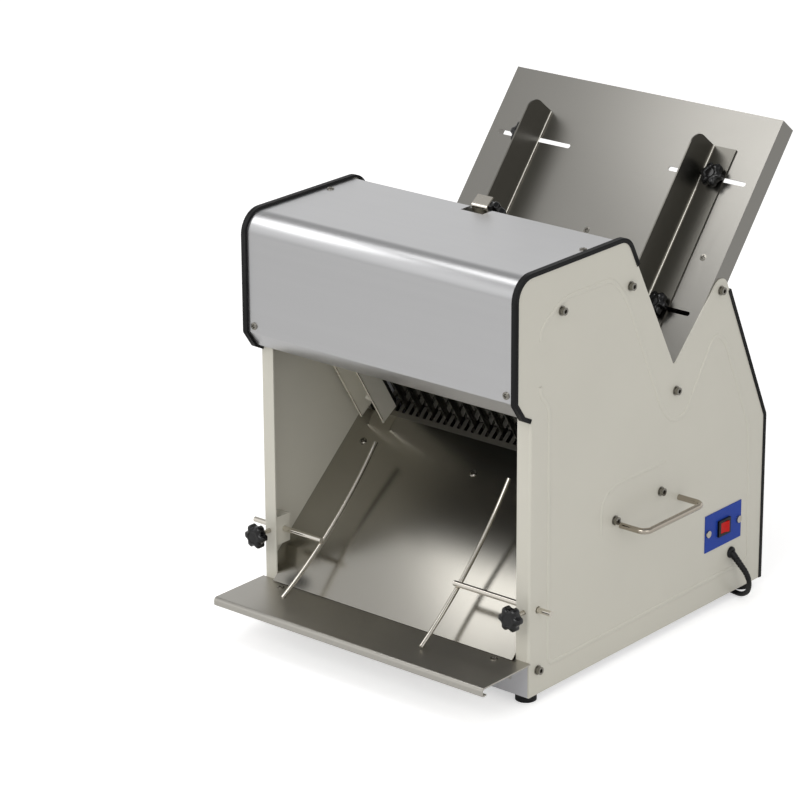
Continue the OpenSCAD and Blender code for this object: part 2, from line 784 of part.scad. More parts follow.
// Round spacers across the machine, threaded at both ends
module tie_rods() {
    color([0.6, 0.6, 0.62]) seat() for (spot = tie_spots) difference() {
        bar(spot, tie_r, -inner_x, inner_x);
        both_sides() bar(spot, bolt_r + run_fit, inner_x - tie_bore, inner_x + cut);
    }
}
// Sheet under a nut of the panel bolts
function nut_sheet(k) = k < 2 ? feed_t : base_t;
module panel_bolts() {
    head_x = wall_x + washer_t + head_h;
    color([0.7, 0.7, 0.72]) seat() both_sides() for (spot = bolt_spots) {
        bar(spot, bolt_r, inner_x - tie_bore + cut, wall_x + washer_t);
        bar(spot, washer_r, wall_x, wall_x + washer_t);
        difference() {
            bar(spot, cap_r, wall_x + washer_t, head_x);
            translate([head_x - socket_d, spot[0], spot[1]]) rotate([0, 90, 0])
                cylinder(r = socket_r, h = socket_d + cut, $fn = 6);
        }
    }
}
module panel_nuts() {
    color([0.6, 0.6, 0.62]) seat() both_sides() for (k = [0:len(nut_spots) - 1]) difference() {
        translate([inner_x - nut_sheet(k) - nut_t, nut_spots[k][0], nut_spots[k][1]]) rotate([0, 90, 0])
            cylinder(r = head_r, h = nut_t, $fn = 6);
        bar(nut_spots[k], bolt_r + run_fit, inner_x - nut_sheet(k) - nut_t - cut, inner_x);
    }
}

// Round-headed screw seated at z = 0
module sheet_screw() {
    cylinder(r = screw_head_r, h = screw_head_h);
    translate([0, 0, -screw_len]) cylinder(r = screw_r, h = screw_len);
}
module screw_hole(depth) {
    translate([0, 0, -depth - cut]) cylinder(r = screw_r + hole_fit, h = depth + 2 * cut);
}
// Countersunk screw flush with the feed plate
module flush_screw() {
    translate([0, 0, -feed_t]) cylinder(r1 = screw_r, r2 = screw_head_r, h = feed_t);
    translate([0, 0, -screw_len]) cylinder(r = screw_r, h = screw_len - feed_t + hole_fit);
}
module flush_hole() {
    translate([0, 0, -feed_t]) cylinder(r1 = screw_r + hole_fit, r2 = screw_head_r + hole_fit, h = feed_t);
    screw_hole(feed_t);
}
module sheet_screws() {
    color([0.7, 0.7, 0.72]) {
        seat() both_sides() {
            translate([hood_screw_x, -hood_out, hood_screw_z]) rotate([90, 0, 0]) sheet_screw();
            translate([hood_screw_x, hood_screw_y, hood_h]) sheet_screw();
            translate([tray_screw_x, -tray_screw_y, tray_z]) sheet_screw();
        }
        chute_space() at_chute_screws() sheet_screw();
        feed_space() at_brace_screws() flush_screw();
    }
}
module at_chute_screws() {
    for (x = [-1, 0, 1] * chute_screw_x) translate([x, chute_len - chute_screw_front, 0]) children();
}
module at_brace_screws() {
    for (x = [-1, 0, 1] * brace_screw_x) translate([x, feed_above - brace_down, 0]) children();
}

// Bent round bar that stands off each side panel
module lift_handle() {
    leg = handle_out - handle_bend;
    half = handle_span / 2;
    translate([wall_x, handle_y, handle_z]) {
        for (end = [0, 1]) mirror([0, end, 0]) {
            translate([0, half, 0]) rotate([0, 90, 0]) cylinder(r = handle_r, h = leg);
            translate([leg, half - handle_bend, 0]) rotate_extrude(angle = 90)
                translate([handle_bend, 0]) circle(r = handle_r);
        }
        translate([handle_out, handle_bend - half, 0]) rotate([-90, 0, 0])
            cylinder(r = handle_r, h = handle_span - 2 * handle_bend);
    }
}
module lift_handles() { color([0.75, 0.75, 0.77]) seat() both_sides() lift_handle(); }

// Outfeed
blade_half = floor((frame_in / 2 - blade_edge) / blade_pitch);
blade_count = 2 * blade_half + 1;
blade_span = (blade_count - 1) * blade_pitch;
comb_half = frame_in / 2 - 2 * slide_fit - cut;
function blade_x(k) = k * blade_pitch - blade_span / 2;

module chute_plate() {
    wide_from = (panel_t + cut - chute_foot_y) / cos(chute_angle);
    color([0.55, 0.54, 0.5]) chute_space() difference() {
        union() {
            block([slide_fit - flange_in, 0, -chute_t], [flange_in - slide_fit, wide_from, 0]);
            block([-inner_x, wide_from, -chute_t], [inner_x, chute_len - comb_len, 0]);
        }
        at_chute_screws() screw_hole(chute_t);
    }
}
// Slotted sheet that ends at the blades, with a strap that laps under the sheet it continues
module comb(from, to, slot_w, sheet_t) {
    difference() {
        block([-comb_half, from, -sheet_t], [comb_half, to, 0]);
        for (k = [0:blade_count - 1]) {
            block([blade_x(k) - slot_w / 2, to - comb_slot, -sheet_t - cut],
                  [blade_x(k) + slot_w / 2, to + cut, cut]);
        }
    }
    block([-comb_half, from - strap, -2 * sheet_t], [comb_half, from + cut, -sheet_t]);
}
module outfeed_comb() {
    color([0.4, 0.4, 0.38]) chute_space() comb(chute_len - comb_len, chute_len - cut, comb_slot_w, chute_t);
}
module infeed_comb() {
    color([0.4, 0.4, 0.38]) feed_space() mirror([0, 1, 0])
        comb(feed_below, blade_down - cut, back_slot_w, feed_t);
}

// Upright channels in front of the blade frames, open to the front, with a flange to the wall and a catch
channel_half = frame_gap / 2 + blade_w + slide_fit + channel_t;
module comb_rail() {
    back = -channel_half;
    front = back - rail_d;
    far_x = rail_x + rail_w;
    block([rail_x, back - slide_fit - hood_t, rail_up], [far_x, back - slide_fit, rail_len]);
    block([rail_x, front, rail_up], [rail_x + hood_t, back - slide_fit, rail_len]);
    block([far_x - hood_t, front, rail_up], [far_x, back, rail_len]);
    block([far_x - hood_t, back - hood_t, rail_up], [inner_x, back, rail_len]);
    translate([rail_x, front + hood_t, catch_up]) rotate([90, 0, 0]) linear_extrude(hood_t)
        polygon([[0, 0], [catch_w, catch_w / 4], [catch_w / 2, catch_w]]);
}
module comb_rails() { color([0.75, 0.75, 0.72]) blade_space() both_sides() comb_rail(); }

// Front tray with a folded lip and a tongue under the chute
module outfeed_tray() {
    half = wall_x + tray_over;
    under = tray_z - tray_t;
    lip_z = tray_z - tray_lip;
    edge = [-tray_d, tray_z];
    fold = [-tray_d, lip_z];
    tray_line = concat([[-slide_fit, tray_z]], fillet([0, tray_z], edge, fold, tray_r),
                       fillet(edge, fold, [0, lip_z], hem_r), [[tray_hem - tray_d, lip_z]]);
    color([0.55, 0.54, 0.5]) seat() difference() {
        union() {
            across(-half, half) polygon(sheet(tray_line, 0, tray_t));
            block([slide_fit - inner_x, -cut, under], [inner_x - slide_fit, tray_tongue, tray_z]);
        }
        both_sides() translate([tray_screw_x, -tray_screw_y, tray_z]) screw_hole(tray_t);
    }
}
module tray_brackets() {
    top = tray_z - tray_t;
    color([0.6, 0.6, 0.6]) seat() both_sides() difference() {
        union() {
            translate([tray_screw_x, 0, top]) {
                block([-bracket_w / 2, -bracket_d, -tray_t], [bracket_w / 2, 0, 0]);
                block([-bracket_w / 2, -tray_t, -bracket_h], [bracket_w / 2, 0, 0]);
            }
        }
        translate([tray_screw_x, -tray_screw_y, top]) screw_hole(tray_t);
    }
}

// Star knob on a threaded stud, with the end of its hub at a height above its seat
module star_knob(stand, hub, stud_len) {
    translate([0, 0, -stud_len]) cylinder(r = stud_r, h = stud_len + stand);
    translate([0, 0, stand]) cylinder(r = hub_r, h = hub);
    translate([0, 0, stand + hub]) linear_extrude(knob_h) difference() {
        circle(r = knob_r);
        for (k = [0:knob_lobes - 1]) {
            rotate(full_turn / knob_lobes * k)
                translate([knob_r + scallop_r - scallop_d, 0]) circle(r = scallop_r);
        }
    }
}

// Clamp blocks behind the front flanges
module clamp_blocks() {
    color([0.7, 0.7, 0.68]) seat() both_sides() difference() {
        block([inner_x - block_w, panel_t, rod_z - block_h / 2],
              [inner_x, panel_t + block_d, rod_z + block_h / 2]);
        bar(rod_spot, rod_r + run_fit, inner_x - block_w - cut, inner_x + cut);
        translate([clamp_x, rod_y, rod_z]) rotate([90, 0, 0]) cylinder(r = stud_r + run_fit, h = rod_y);
    }
}
module clamp_knob(side) {
    color([0.05, 0.05, 0.05]) seat() on_side(side) translate([clamp_x, 0, rod_z]) rotate([90, 0, 0])
        star_knob(clamp_stand, hub_h, rod_y - rod_r - slide_fit);
}
module left_clamp_knob() { clamp_knob(-1); }
module right_clamp_knob() { clamp_knob(1); }

// Cross rod with a bent wire welded under its inner end
module outfeed_guide(side, wire_x, reach, tilt) {
    arc_r = wire_len * wire_len / (8 * wire_sag) + wire_sag / 2;
    half = asin(wire_len / 2 / arc_r);
    along = [cos(tilt), sin(tilt)];
    drop = arc_r - wire_sag - sqrt(arc_r * arc_r - pow(wire_rod_at - wire_len / 2, 2));
    weld = rod_r + wire_r - slide_fit;
    low_end = rod_spot - wire_rod_at * along - (drop + weld) * left_of(along);
    centre = low_end + wire_len / 2 * along + (arc_r - wire_sag) * left_of(along);
    color([0.78, 0.78, 0.78]) seat() on_side(side) {
        bar(rod_spot, rod_r, wire_x - wire_r, wall_x + reach);
        translate([wire_x, centre[0], centre[1]]) rotate([90, 0, 90]) rotate(tilt - 90 - half)
            rotate_extrude(angle = 2 * half) translate([arc_r, 0]) circle(r = wire_r);
    }
}
module left_outfeed_guide() { outfeed_guide(-1, left_wire_x, left_reach, wire_slope); }
module right_outfeed_guide() { outfeed_guide(1, right_wire_x, right_reach, right_wire_slope); }

// Infeed
slot_half = stud_r + hole_fit;
guide_low = feed_above - guide_top - guide_len;
guide_knob_x = fence_x + guide_knob_in;
upper_slot_y = feed_above - slot_top;
lower_slot_y = feed_above - slot_low;
guide_floor = slide_fit + guide_t;

module guide_slot(y) {
    block([slot_in + slot_half, y - slot_half, -feed_t - cut], [slot_out - slot_half, y + slot_half, cut]);
    for (x = [slot_in + slot_half, slot_out - slot_half]) {
        translate([x, y, -feed_t - cut]) cylinder(r = slot_half, h = feed_t + 2 * cut);
    }
}
// Sloped feed plate with side flanges, slots for the guides and holes for its bolts
module feed_plate() {
    color([0.6, 0.59, 0.56]) feed_space() difference() {
        union() {
            block([-inner_x, -feed_below, -feed_t], [inner_x, feed_above, 0]);
            both_sides() block([inner_x - feed_t, -feed_below, -feed_flange], [inner_x, feed_above, 0]);
        }
        both_sides() {
            guide_slot(upper_slot_y);
            guide_slot(lower_slot_y);
            bar([tongue_up, -tongue_back], bolt_r + hole_fit, inner_x - feed_t - cut, inner_x + cut);
            bar([-vee_bolt_down, -vee_bolt_back], bolt_r + hole_fit, inner_x - feed_t - cut, inner_x + cut);
        }
        at_brace_screws() flush_hole();
    }
}
// Angle bar under the feed plate
module feed_brace() {
    half = inner_x - feed_t;
    low = feed_above - brace_down - brace_leg / 2;
    color([0.6, 0.6, 0.6]) feed_space() difference() {
        union() {
            block([-half, low, -feed_t - guide_t], [half, low + brace_leg, -feed_t]);
            block([-half, low + brace_leg - guide_t, -feed_t - brace_leg], [half, low + brace_leg, -feed_t]);
        }
        translate([0, 0, -feed_t]) at_brace_screws() screw_hole(guide_t);
    }
}
// Angle guide with a rounded fence, and the square nuts of its knobs under the plate
module infeed_guide(side) {
    end_y = guide_low + guide_len;
    nut_top = -feed_t - slide_fit;
    fence = concat([[guide_low, slide_fit], [guide_low, fence_h]],
                   fillet([guide_low, fence_h], [end_y, fence_h], [end_y, 0], fence_r), [[end_y, slide_fit]]);
    color([0.3, 0.3, 0.3]) feed_space() on_side(side) {
        difference() {
            union() {
                across(fence_x, fence_x + guide_t) polygon(fence);
                block([fence_x, guide_low, slide_fit], [fence_x + guide_foot, end_y, guide_floor]);
            }
            at_guide_knobs() cylinder(r = stud_r + hole_fit, h = guide_floor + cut);
        }
        at_guide_knobs() difference() {
            block([-guide_nut, -guide_nut, nut_top - nut_t], [guide_nut, guide_nut, nut_top]);
            translate([0, 0, nut_top - nut_t - cut]) cylinder(r = stud_r + run_fit, h = nut_t + 2 * cut);
        }
    }
}
module at_guide_knobs() {
    for (y = [upper_slot_y, lower_slot_y]) translate([guide_knob_x, y, 0]) children();
}
module left_infeed_guide() { infeed_guide(-1); }
module right_infeed_guide() { infeed_guide(1); }
module infeed_knob(side, y) {
    color([0.05, 0.05, 0.05]) feed_space() on_side(side) translate([guide_knob_x, y, guide_floor])
        star_knob(slide_fit, low_hub_h, guide_floor + feed_t + slide_fit + nut_t);
}
module left_upper_knob() { infeed_knob(-1, upper_slot_y); }
module left_lower_knob() { infeed_knob(-1, lower_slot_y); }
module right_upper_knob() { infeed_knob(1, upper_slot_y); }
module right_lower_knob() { infeed_knob(1, lower_slot_y); }

// Rear plate of the blade box and the hold-down strip that slides behind it
box_start = (hood_t + slide_fit - box_in * cos(box_angle)) / sin(box_angle);
box_end = box_start + box_len;
hold_knob_y = box_start + hold_knob_down;
strip_face = -box_in - box_t - slide_fit;
module box_plate() {
    saddle_x = strip_w / 2 + slide_fit;
    back = -strip_back;
    color([0.62, 0.62, 0.6]) box_space() difference() {
        union() {
            block([-inner_x, box_start, -box_in - box_t], [inner_x, box_end, -box_in]);
            both_sides() {
                block([inner_x - box_t, box_start, -box_in - box_flange], [inner_x, box_end, -box_in]);
                block([saddle_x, hold_knob_y - saddle_half, back - saddle_t],
                      [saddle_x + saddle_t, hold_knob_y + saddle_half, -box_in]);
            }
            block([-saddle_x, hold_knob_y - saddle_half, back - saddle_t],
                  [saddle_x, hold_knob_y + saddle_half, back]);
        }
        both_sides() bar([rear_tie_down, back - tie_r - slide_fit], tie_r + hole_fit,
                         inner_x - box_t - cut, inner_x + cut);
        translate([0, hold_knob_y, -box_in - box_t - cut / 2])
            cylinder(r = stud_r + run_fit, h = box_t + cut);
    }
}
module hold_down_strip() {
    low = box_end + strip_past;
    high = box_start - strip_neck;
    bend = strip_t + cut;
    foot = [low, strip_face - strip_foot];
    heel = [low, strip_face];
    neck = [high, strip_face];
    tip = neck + strip_tab * [cos(tab_angle + box_angle), sin(tab_angle + box_angle)];
    path = concat([foot], fillet(foot, heel, neck, bend), fillet(heel, neck, tip, bend), [tip]);
    color([0.8, 0.8, 0.8]) box_space() across(-strip_w / 2, strip_w / 2) polygon(sheet(path, 0, strip_t));
}
module hold_down_knob() {
    color([0.05, 0.05, 0.05]) box_space() translate([0, hold_knob_y, -box_in])
        star_knob(slide_fit, hold_hub_h, box_t);
}

// Blade drive
half_stroke = stroke / 2;
frame_out = frame_in / 2 + bar_w;
frame_low = -blade_low - bar_w;
frame_high = blade_up + bar_w;
frame_mid = (frame_gap + blade_w) / 2;
window_up = stroke + wrist_r + 2 * slide_fit;
window_side = half_stroke + wrist_r + 2 * slide_fit;
wrist_up = frame_low - stroke - window_up - con_wall - cut;
crank_up = wrist_up - window_up - 2 * con_wall - con_neck - ecc_r;
crank = blade_point(crank_up, 0);
motor_axis = [crank[0] - motor_fore, motor_z];
groove_w = belt_w + 2 * slide_fit;
motor_end = belt_x - belt_w / 2 - motor_gap;
// Front of frame A, and of frame B behind it
function frame_front(side) = side * frame_mid - blade_w / 2;

// Channels on the walls in which the frames slide
module guide_channel() {
    ends = half_stroke + channel_t;
    inside = frame_in / 2 + 2 * cut;
    difference() {
        block([inside, -channel_half, frame_low - ends], [inner_x, channel_half, frame_high + ends]);
        block([inside - cut, channel_t - channel_half, frame_low - ends - cut],
              [frame_out + slide_fit, channel_half - channel_t, frame_high + ends + cut]);
    }
}
module guide_channels() { color([0.5, 0.5, 0.5]) blade_space() both_sides() guide_channel(); }

// Blade frame with two lugs and a wrist pin under its lower bar
module blade_frame(side) {
    front = frame_front(side);
    back = front + blade_w;
    lug_in = con_t / 2 + lug_gap;
    color([0.15, 0.15, 0.15]) blade_space() {
        both_sides() block([frame_in / 2, front, frame_low], [frame_out, back, frame_high]);
        block([-frame_out, front, blade_up], [frame_out, back, frame_high]);
        block([-frame_out, front, frame_low], [frame_out, back, -blade_low]);
        translate([side * con_x, 0, 0]) {
            both_sides() block([lug_in, front, wrist_up - lug_end], [lug_in + lug_t, back, frame_low + cut]);
            bar([side * frame_mid, wrist_up], wrist_r, -lug_in - lug_t, lug_in + lug_t);
        }
    }
}
module blade_frame_a() { blade_frame(-1); }
module blade_frame_b() { blade_frame(1); }
module blades(side, first) {
    front = frame_front(side);
    color([0.35, 0.35, 0.36]) blade_space() for (k = [first:2:blade_count - 1])
        translate([blade_x(k), 0, 0])
            block([-blade_t / 2, front, -blade_low], [blade_t / 2, front + blade_w, blade_up]);
}
module blades_a() { blades(-1, 0); }
module blades_b() { blades(1, 1); }

// Flanged pulley on a shaft axis through the origin
module pulley(r) {
    bar([0, 0], r, belt_x - groove_w / 2, belt_x + groove_w / 2);
    for (x = [belt_x - groove_w / 2 - pulley_flange, belt_x + groove_w / 2]) {
        bar([0, 0], r + belt_t + pulley_rim, x, x + pulley_flange);
    }
}
// Crankshaft with two opposed eccentrics and the driven pulley
module crankshaft() {
    shaft_from = -bearing_x - bearing_t / 2 - 2 * cut;
    shaft_to = belt_x + groove_w / 2 + 2 * pulley_flange;
    half_disc = con_t / 2 + lug_gap;
    color([0.55, 0.55, 0.58]) blade_space() translate([0, 0, crank_up]) {
        bar([0, 0], shaft_r, shaft_from, shaft_to);
        for (side = [-1, 1]) {
            bar([side * half_stroke, 0], ecc_r, side * con_x - half_disc, side * con_x + half_disc);
        }
        pulley(pulley_r);
    }
}
module bearing_housings() {
    top = crank[1] + shaft_r + 2 * con_wall;
    color([0.4, 0.42, 0.45]) seat() both_sides() difference() {
        block([bearing_x - bearing_t / 2, crank[0] - bearing_half, base_t],
              [bearing_x + bearing_t / 2, crank[0] + bearing_half, top]);
        bar(crank, shaft_r + run_fit, bearing_x - bearing_t / 2 - cut, bearing_x + bearing_t / 2 + cut);
    }
}
// Connecting rod: a strap round its eccentric, a neck and a window round the wrist pin
module connecting_rod(side) {
    half = con_t / 2;
    ring_r = ecc_r + con_wall;
    window_mid = side * frame_mid;
    window_low = wrist_up - window_up;
    color([0.6, 0.6, 0.62]) blade_space() translate([side * con_x, side * half_stroke, 0]) difference() {
        union() {
            bar([0, crank_up], ring_r, -half, half);
            block([-half, -ecc_r / 2, crank_up], [half, ecc_r / 2, window_low]);
            block([-half, window_mid - window_side - con_wall, window_low - con_wall],
                  [half, window_mid + window_side + con_wall, wrist_up + window_up + con_wall]);
        }
        bar([0, crank_up], ecc_r + run_fit, -half - cut, half + cut);
        block([-half - cut, window_mid - window_side, window_low],
              [half + cut, window_mid + window_side, wrist_up + window_up]);
    }
}
module connecting_rod_a() { connecting_rod(-1); }
module connecting_rod_b() { connecting_rod(1); }

// Loop round both pulleys at a distance from their grooves
function belt_loop(out) =
    let (big = pulley_r + out, small = small_pulley_r + out, line = motor_axis - crank)
    let (aim = atan2(line[1], line[0]), spread = acos((big - small) / norm(line)))
    concat(arc(crank, big, aim + spread, aim + full_turn - spread, belt_steps),
           arc(motor_axis, small, aim - spread, aim + spread, belt_steps));
module drive_belt() {
    color([0.1, 0.1, 0.1]) seat() across(belt_x - belt_w / 2, belt_x + belt_w / 2) difference() {
        polygon(belt_loop(slide_fit + belt_t));
        polygon(belt_loop(slide_fit));
    }
}
module motor() {
    color([0.35, 0.4, 0.45]) seat() difference() {
        bar(motor_axis, motor_r, motor_end - motor_len, motor_end);
        bar(motor_axis, motor_shaft_r + run_fit, motor_end - motor_bore - cut, motor_end + cut);
    }
}
module motor_cradle() {
    color([0.5, 0.5, 0.5]) seat() difference() {
        for (x = [motor_end - motor_len + cradle_in, motor_end - cradle_in]) {
            block([x - cradle_t / 2, motor_axis[0] - cradle_half, base_t],
                  [x + cradle_t / 2, motor_axis[0] + cradle_half, motor_axis[1]]);
        }
        bar(motor_axis, motor_r + slide_fit, motor_end - motor_len, motor_end);
    }
}
module motor_pulley() {
    color([0.55, 0.55, 0.58]) seat() translate([0, motor_axis[0], motor_axis[1]]) {
        bar([0, 0], motor_shaft_r, motor_end - motor_bore, belt_x + groove_w / 2 + 2 * pulley_flange);
        pulley(small_pulley_r);
    }
}

// Switch
gland_hole_r = gland_neck_r + hole_fit;
body_l = bezel_l - 2 * bezel_lip;
body_h = bezel_h - 2 * bezel_lip;
bezel_face = wall_x + plate_t + bezel_t;
pivot_x = bezel_face - pivot_in;
screw_reach = plate_l / 2 - plate_screw_in;
module at_switch() { translate([switch_y, switch_z]) children(); }
// Opening for the switch body with the holes of its two screws
module switch_opening() {
    at_switch() {
        square([body_l + 2 * hole_fit, body_h + 2 * hole_fit], center = true);
        for (y = [-1, 1] * screw_reach) translate([y, 0]) circle(r = screw_r + hole_fit);
    }
}
module switch_plate() {
    color([0.12, 0.22, 0.6]) seat() across(wall_x, wall_x + plate_t) difference() {
        at_switch() square([plate_l, plate_h], center = true);
        switch_opening();
    }
}
module switch_screws() {
    color([0.75, 0.75, 0.77]) seat() for (y = [-1, 1] * screw_reach)
        translate([wall_x + plate_t, switch_y + y, switch_z]) rotate([0, 90, 0]) sheet_screw();
}
// Bezel and body of the switch, hollowed for the rocker
module switch_housing() {
    color([0.04, 0.04, 0.04]) seat() difference() {
        union() {
            across(wall_x + plate_t, bezel_face) at_switch() square([bezel_l, bezel_h], center = true);
            across(inner_x - housing_d, wall_x + plate_t + cut)
                at_switch() square([body_l, body_h], center = true);
        }
        translate([pivot_x, switch_y, switch_z]) {
            cylinder(r = rocker_r + slide_fit, h = rocker_h + 2 * slide_fit, center = true);
            cylinder(r = pivot_r + run_fit, h = rocker_h + 2 * pivot_len + 2 * slide_fit, center = true);
        }
    }
}
// Rocker with two faces that meet in a shallow valley, tipped to one side
module switch_rocker() {
    far = 2 * rocker_r;
    rise = far * tan(rocker_tilt);
    color([0.75, 0.06, 0.05]) seat() translate([pivot_x, switch_y, switch_z]) rotate([0, 0, -rocker_tilt]) {
        linear_extrude(rocker_h, center = true) intersection() {
            circle(r = rocker_r);
            polygon([[-far, -far], [rocker_mid + rise, -far], [rocker_mid, 0], [rocker_mid + rise, far],
                     [-far, far]]);
        }
        cylinder(r = pivot_r, h = rocker_h + 2 * pivot_len, center = true);
    }
}

// Cord, with its route to the coil behind the machine, measured from the outlet and from the floor
cord_steps = [
    [15.5, 4.5, 54], [20, 6, 48], [23, 8, 41], [25, 10, 32], [23, 13, 22], [18.5, 16, 13.5],
    [11, 19, 7.5], [4, 21, 4.6], [-3, 23, 3.6], [-20, 26, 3.6], [-40, 29, 3.6], [-61, 32, 3.6],
    [-78, 37, 3.6], [-92, 47, 3.6], [-101, 61, 3.6], [-105, 78, 3.6], [-105, 94, 3.6], [-105, 114, 4.2],
    [-105, 134, 5], [-105, 152, 5.2], [-105, 170, 5.2]
];
cord_route = [for (step = cord_steps) [wall_x, gland_y - mid_y, 0] + step];
cord_sides = 10;
coil_sides = 6;
loop_rings = 24;
cord_end = cord_route[len(cord_route) - 1];
coil_half = coil_turns / 2;
coil_out = coil_r + coil_pitch * coil_half;
coil_mid = [cord_end[0] - coil_out, cord_end[1] + cord_d];
// Height of the coil after a number of turns: two layers joined by a climb of half a turn
function coil_z(turn) = cord_end[2] + coil_pitch * min(1, max(0, 2 * (turn - coil_half) + 0.5));
function coil_point(turn) =
    let (r = coil_r + coil_pitch * abs(turn - coil_half))
    [coil_mid[0] + r * cos(full_turn * turn), coil_mid[1] + r * sin(full_turn * turn), coil_z(turn)];
coil_loops = [for (k = [0:coil_turns * loop_rings]) coil_point(k / loop_rings)];
plug_face = [coil_mid[0] - coil_out, cord_end[1], coil_z(coil_turns)];
coil_path = concat([cord_end], coil_loops, [plug_face]);
// Least gap between turns of the coil, measured on its points at least half a loop apart
coil_gap = min([for (i = [0:len(coil_path) - 1])
    for (j = [i + loop_rings / 2:1:len(coil_path) - 1]) norm(coil_path[i] - coil_path[j])]) - cord_d;
echo(coil_gap = coil_gap);

function tangent(path, k) =
    let (last = len(path) - 1)
    unit(unit(path[min(k + 1, last)] - path[min(k, last - 1)]) + unit(path[max(k, 1)] - path[max(k - 1, 0)]));
function squared(v, t) = unit(v - (v * t) * t);
// Side vectors carried along a path without twist
function side_vectors(path) =
    [for (k = 0, v = squared([0, 1, 0.3], tangent(path, 0)); k < len(path);
          k = k + 1, v = squared(v, tangent(path, min(k, len(path) - 1)))) v];
// Round tube swept along a path
module tube(path, r, sides) {
    last = len(path) - 1;
    side = side_vectors(path);
    points = [for (k = [0:last], j = [0:sides - 1])
        let (a = 360 * j / sides, up = cross(tangent(path, k), side[k]))
        path[k] + r * (cos(a) * side[k] + sin(a) * up)];
    walls = [for (k = [0:last - 1], j = [0:sides - 1])
        let (a = k * sides + j, b = k * sides + (j + 1) % sides)
        each [[a, a + sides, b], [b, a + sides, b + sides]]];
    end = last * sides;
    caps = [for (j = [1:sides - 2]) each [[0, j, j + 1], [end, end + j + 1, end + j]]];
    polyhedron(points, concat(walls, caps));
}
// Outlet: a disc and neck in the panel and a nose that points down along the cord
module cable_gland() {
    aim = unit(cord_route[1] - cord_route[0]);
    color([0.05, 0.05, 0.05]) {
        seat() {
            bar([gland_y, gland_z], gland_r, wall_x, wall_x + gland_t);
            bar([gland_y, gland_z], gland_neck_r, inner_x - gland_t, wall_x + gland_t);
        }
        intersection() {
            translate(cord_route[0]) rotate([0, acos(aim[2]), atan2(aim[1], aim[0])])
                translate([0, 0, -gland_nose_len]) cylinder(r = gland_nose_r, h = gland_nose_len);
            translate([wall_x, 0, 0]) cube(body_d);
        }
    }
}
module power_cord() { color([0.05, 0.05, 0.05]) tube(cord_route, cord_d / 2, cord_sides); }
module cord_coil() { color([0.05, 0.05, 0.05]) tube(coil_path, cord_d / 2, coil_sides); }
// Flat band round the bundle of turns at the rear of the coil
module cord_tie() {
    gap = cord_d / 2 + slide_fit;
    from = [coil_mid[0] - cord_tie_w / 2, coil_mid[1] + coil_r + coil_pitch / 2 - gap, cord_end[2] - gap];
    to = [coil_mid[0] + cord_tie_w / 2, coil_mid[1] + coil_out - coil_pitch / 4 + gap, plug_face[2] + gap];
    wall = [0, tie_t, tie_t];
    color([0.05, 0.05, 0.05]) difference() {
        block(from - wall, to + wall);
        block(from - [cut, 0, 0], to + [cut, 0, 0]);
    }
}
// Round plug with two pins, lying in front of the coil
module plug() {
    color([0.05, 0.05, 0.05]) translate(plug_face) rotate([90, 0, 0]) {
        cylinder(r = relief_r, h = relief_len);
        translate([0, 0, relief_len]) cylinder(r = plug_r, h = plug_len);
        for (x = [-1, 1] * pin_x) {
            translate([x, 0, relief_len + plug_len]) cylinder(r = pin_r, h = pin_len);
        }
    }
}

left_side_panel();
right_side_panel();
hood_cover();
hood_trims();
rear_trims();
rear_cover();
base_pan();
feet();
tie_rods();
panel_bolts();
panel_nuts();
sheet_screws();
lift_handles();
chute_plate();
outfeed_comb();
comb_rails();
outfeed_tray();
tray_brackets();
clamp_blocks();
left_outfeed_guide();
right_outfeed_guide();
left_clamp_knob();
right_clamp_knob();
feed_plate();
feed_brace();
infeed_comb();
left_infeed_guide();
right_infeed_guide();
left_upper_knob();
left_lower_knob();
right_upper_knob();
right_lower_knob();
box_plate();
hold_down_strip();
hold_down_knob();
guide_channels();
blade_frame_a();
blade_frame_b();
blades_a();
blades_b();
crankshaft();
bearing_housings();
connecting_rod_a();
connecting_rod_b();
drive_belt();
motor();
motor_cradle();
motor_pulley();
switch_plate();
switch_screws();
switch_housing();
switch_rocker();
cable_gland();
power_cord();
cord_coil();
cord_tie();
plug();
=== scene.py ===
"""Looks of a countertop bread slicer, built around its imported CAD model.

Metres, +X to the right seen from the outfeed side, +Y to the infeed side, +Z up.
"""
import math

import bmesh
import bpy
import numpy as np
from mathutils import Matrix, Vector


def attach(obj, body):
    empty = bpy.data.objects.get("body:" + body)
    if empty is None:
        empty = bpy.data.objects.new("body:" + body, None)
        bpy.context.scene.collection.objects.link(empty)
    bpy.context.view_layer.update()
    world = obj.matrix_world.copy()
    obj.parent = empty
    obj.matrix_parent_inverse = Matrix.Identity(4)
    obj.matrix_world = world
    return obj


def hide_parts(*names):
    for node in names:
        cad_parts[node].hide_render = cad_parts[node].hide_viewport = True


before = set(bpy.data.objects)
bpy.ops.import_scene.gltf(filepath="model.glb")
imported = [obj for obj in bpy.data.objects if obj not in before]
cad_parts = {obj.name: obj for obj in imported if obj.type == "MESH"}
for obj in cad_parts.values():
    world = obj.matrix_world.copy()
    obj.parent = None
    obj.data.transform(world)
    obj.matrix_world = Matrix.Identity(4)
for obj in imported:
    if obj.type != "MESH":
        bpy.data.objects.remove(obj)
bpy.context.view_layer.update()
MM = 0.001
TAU = 2 * math.pi
scene = bpy.context.scene

# Places of the machine, in millimetres of the CAD frame: half width over the side panels, middle of the
# depth, and height of the feet
WALL_X = 225.0
MID_Y = 232.4086
FOOT_H = 12.0

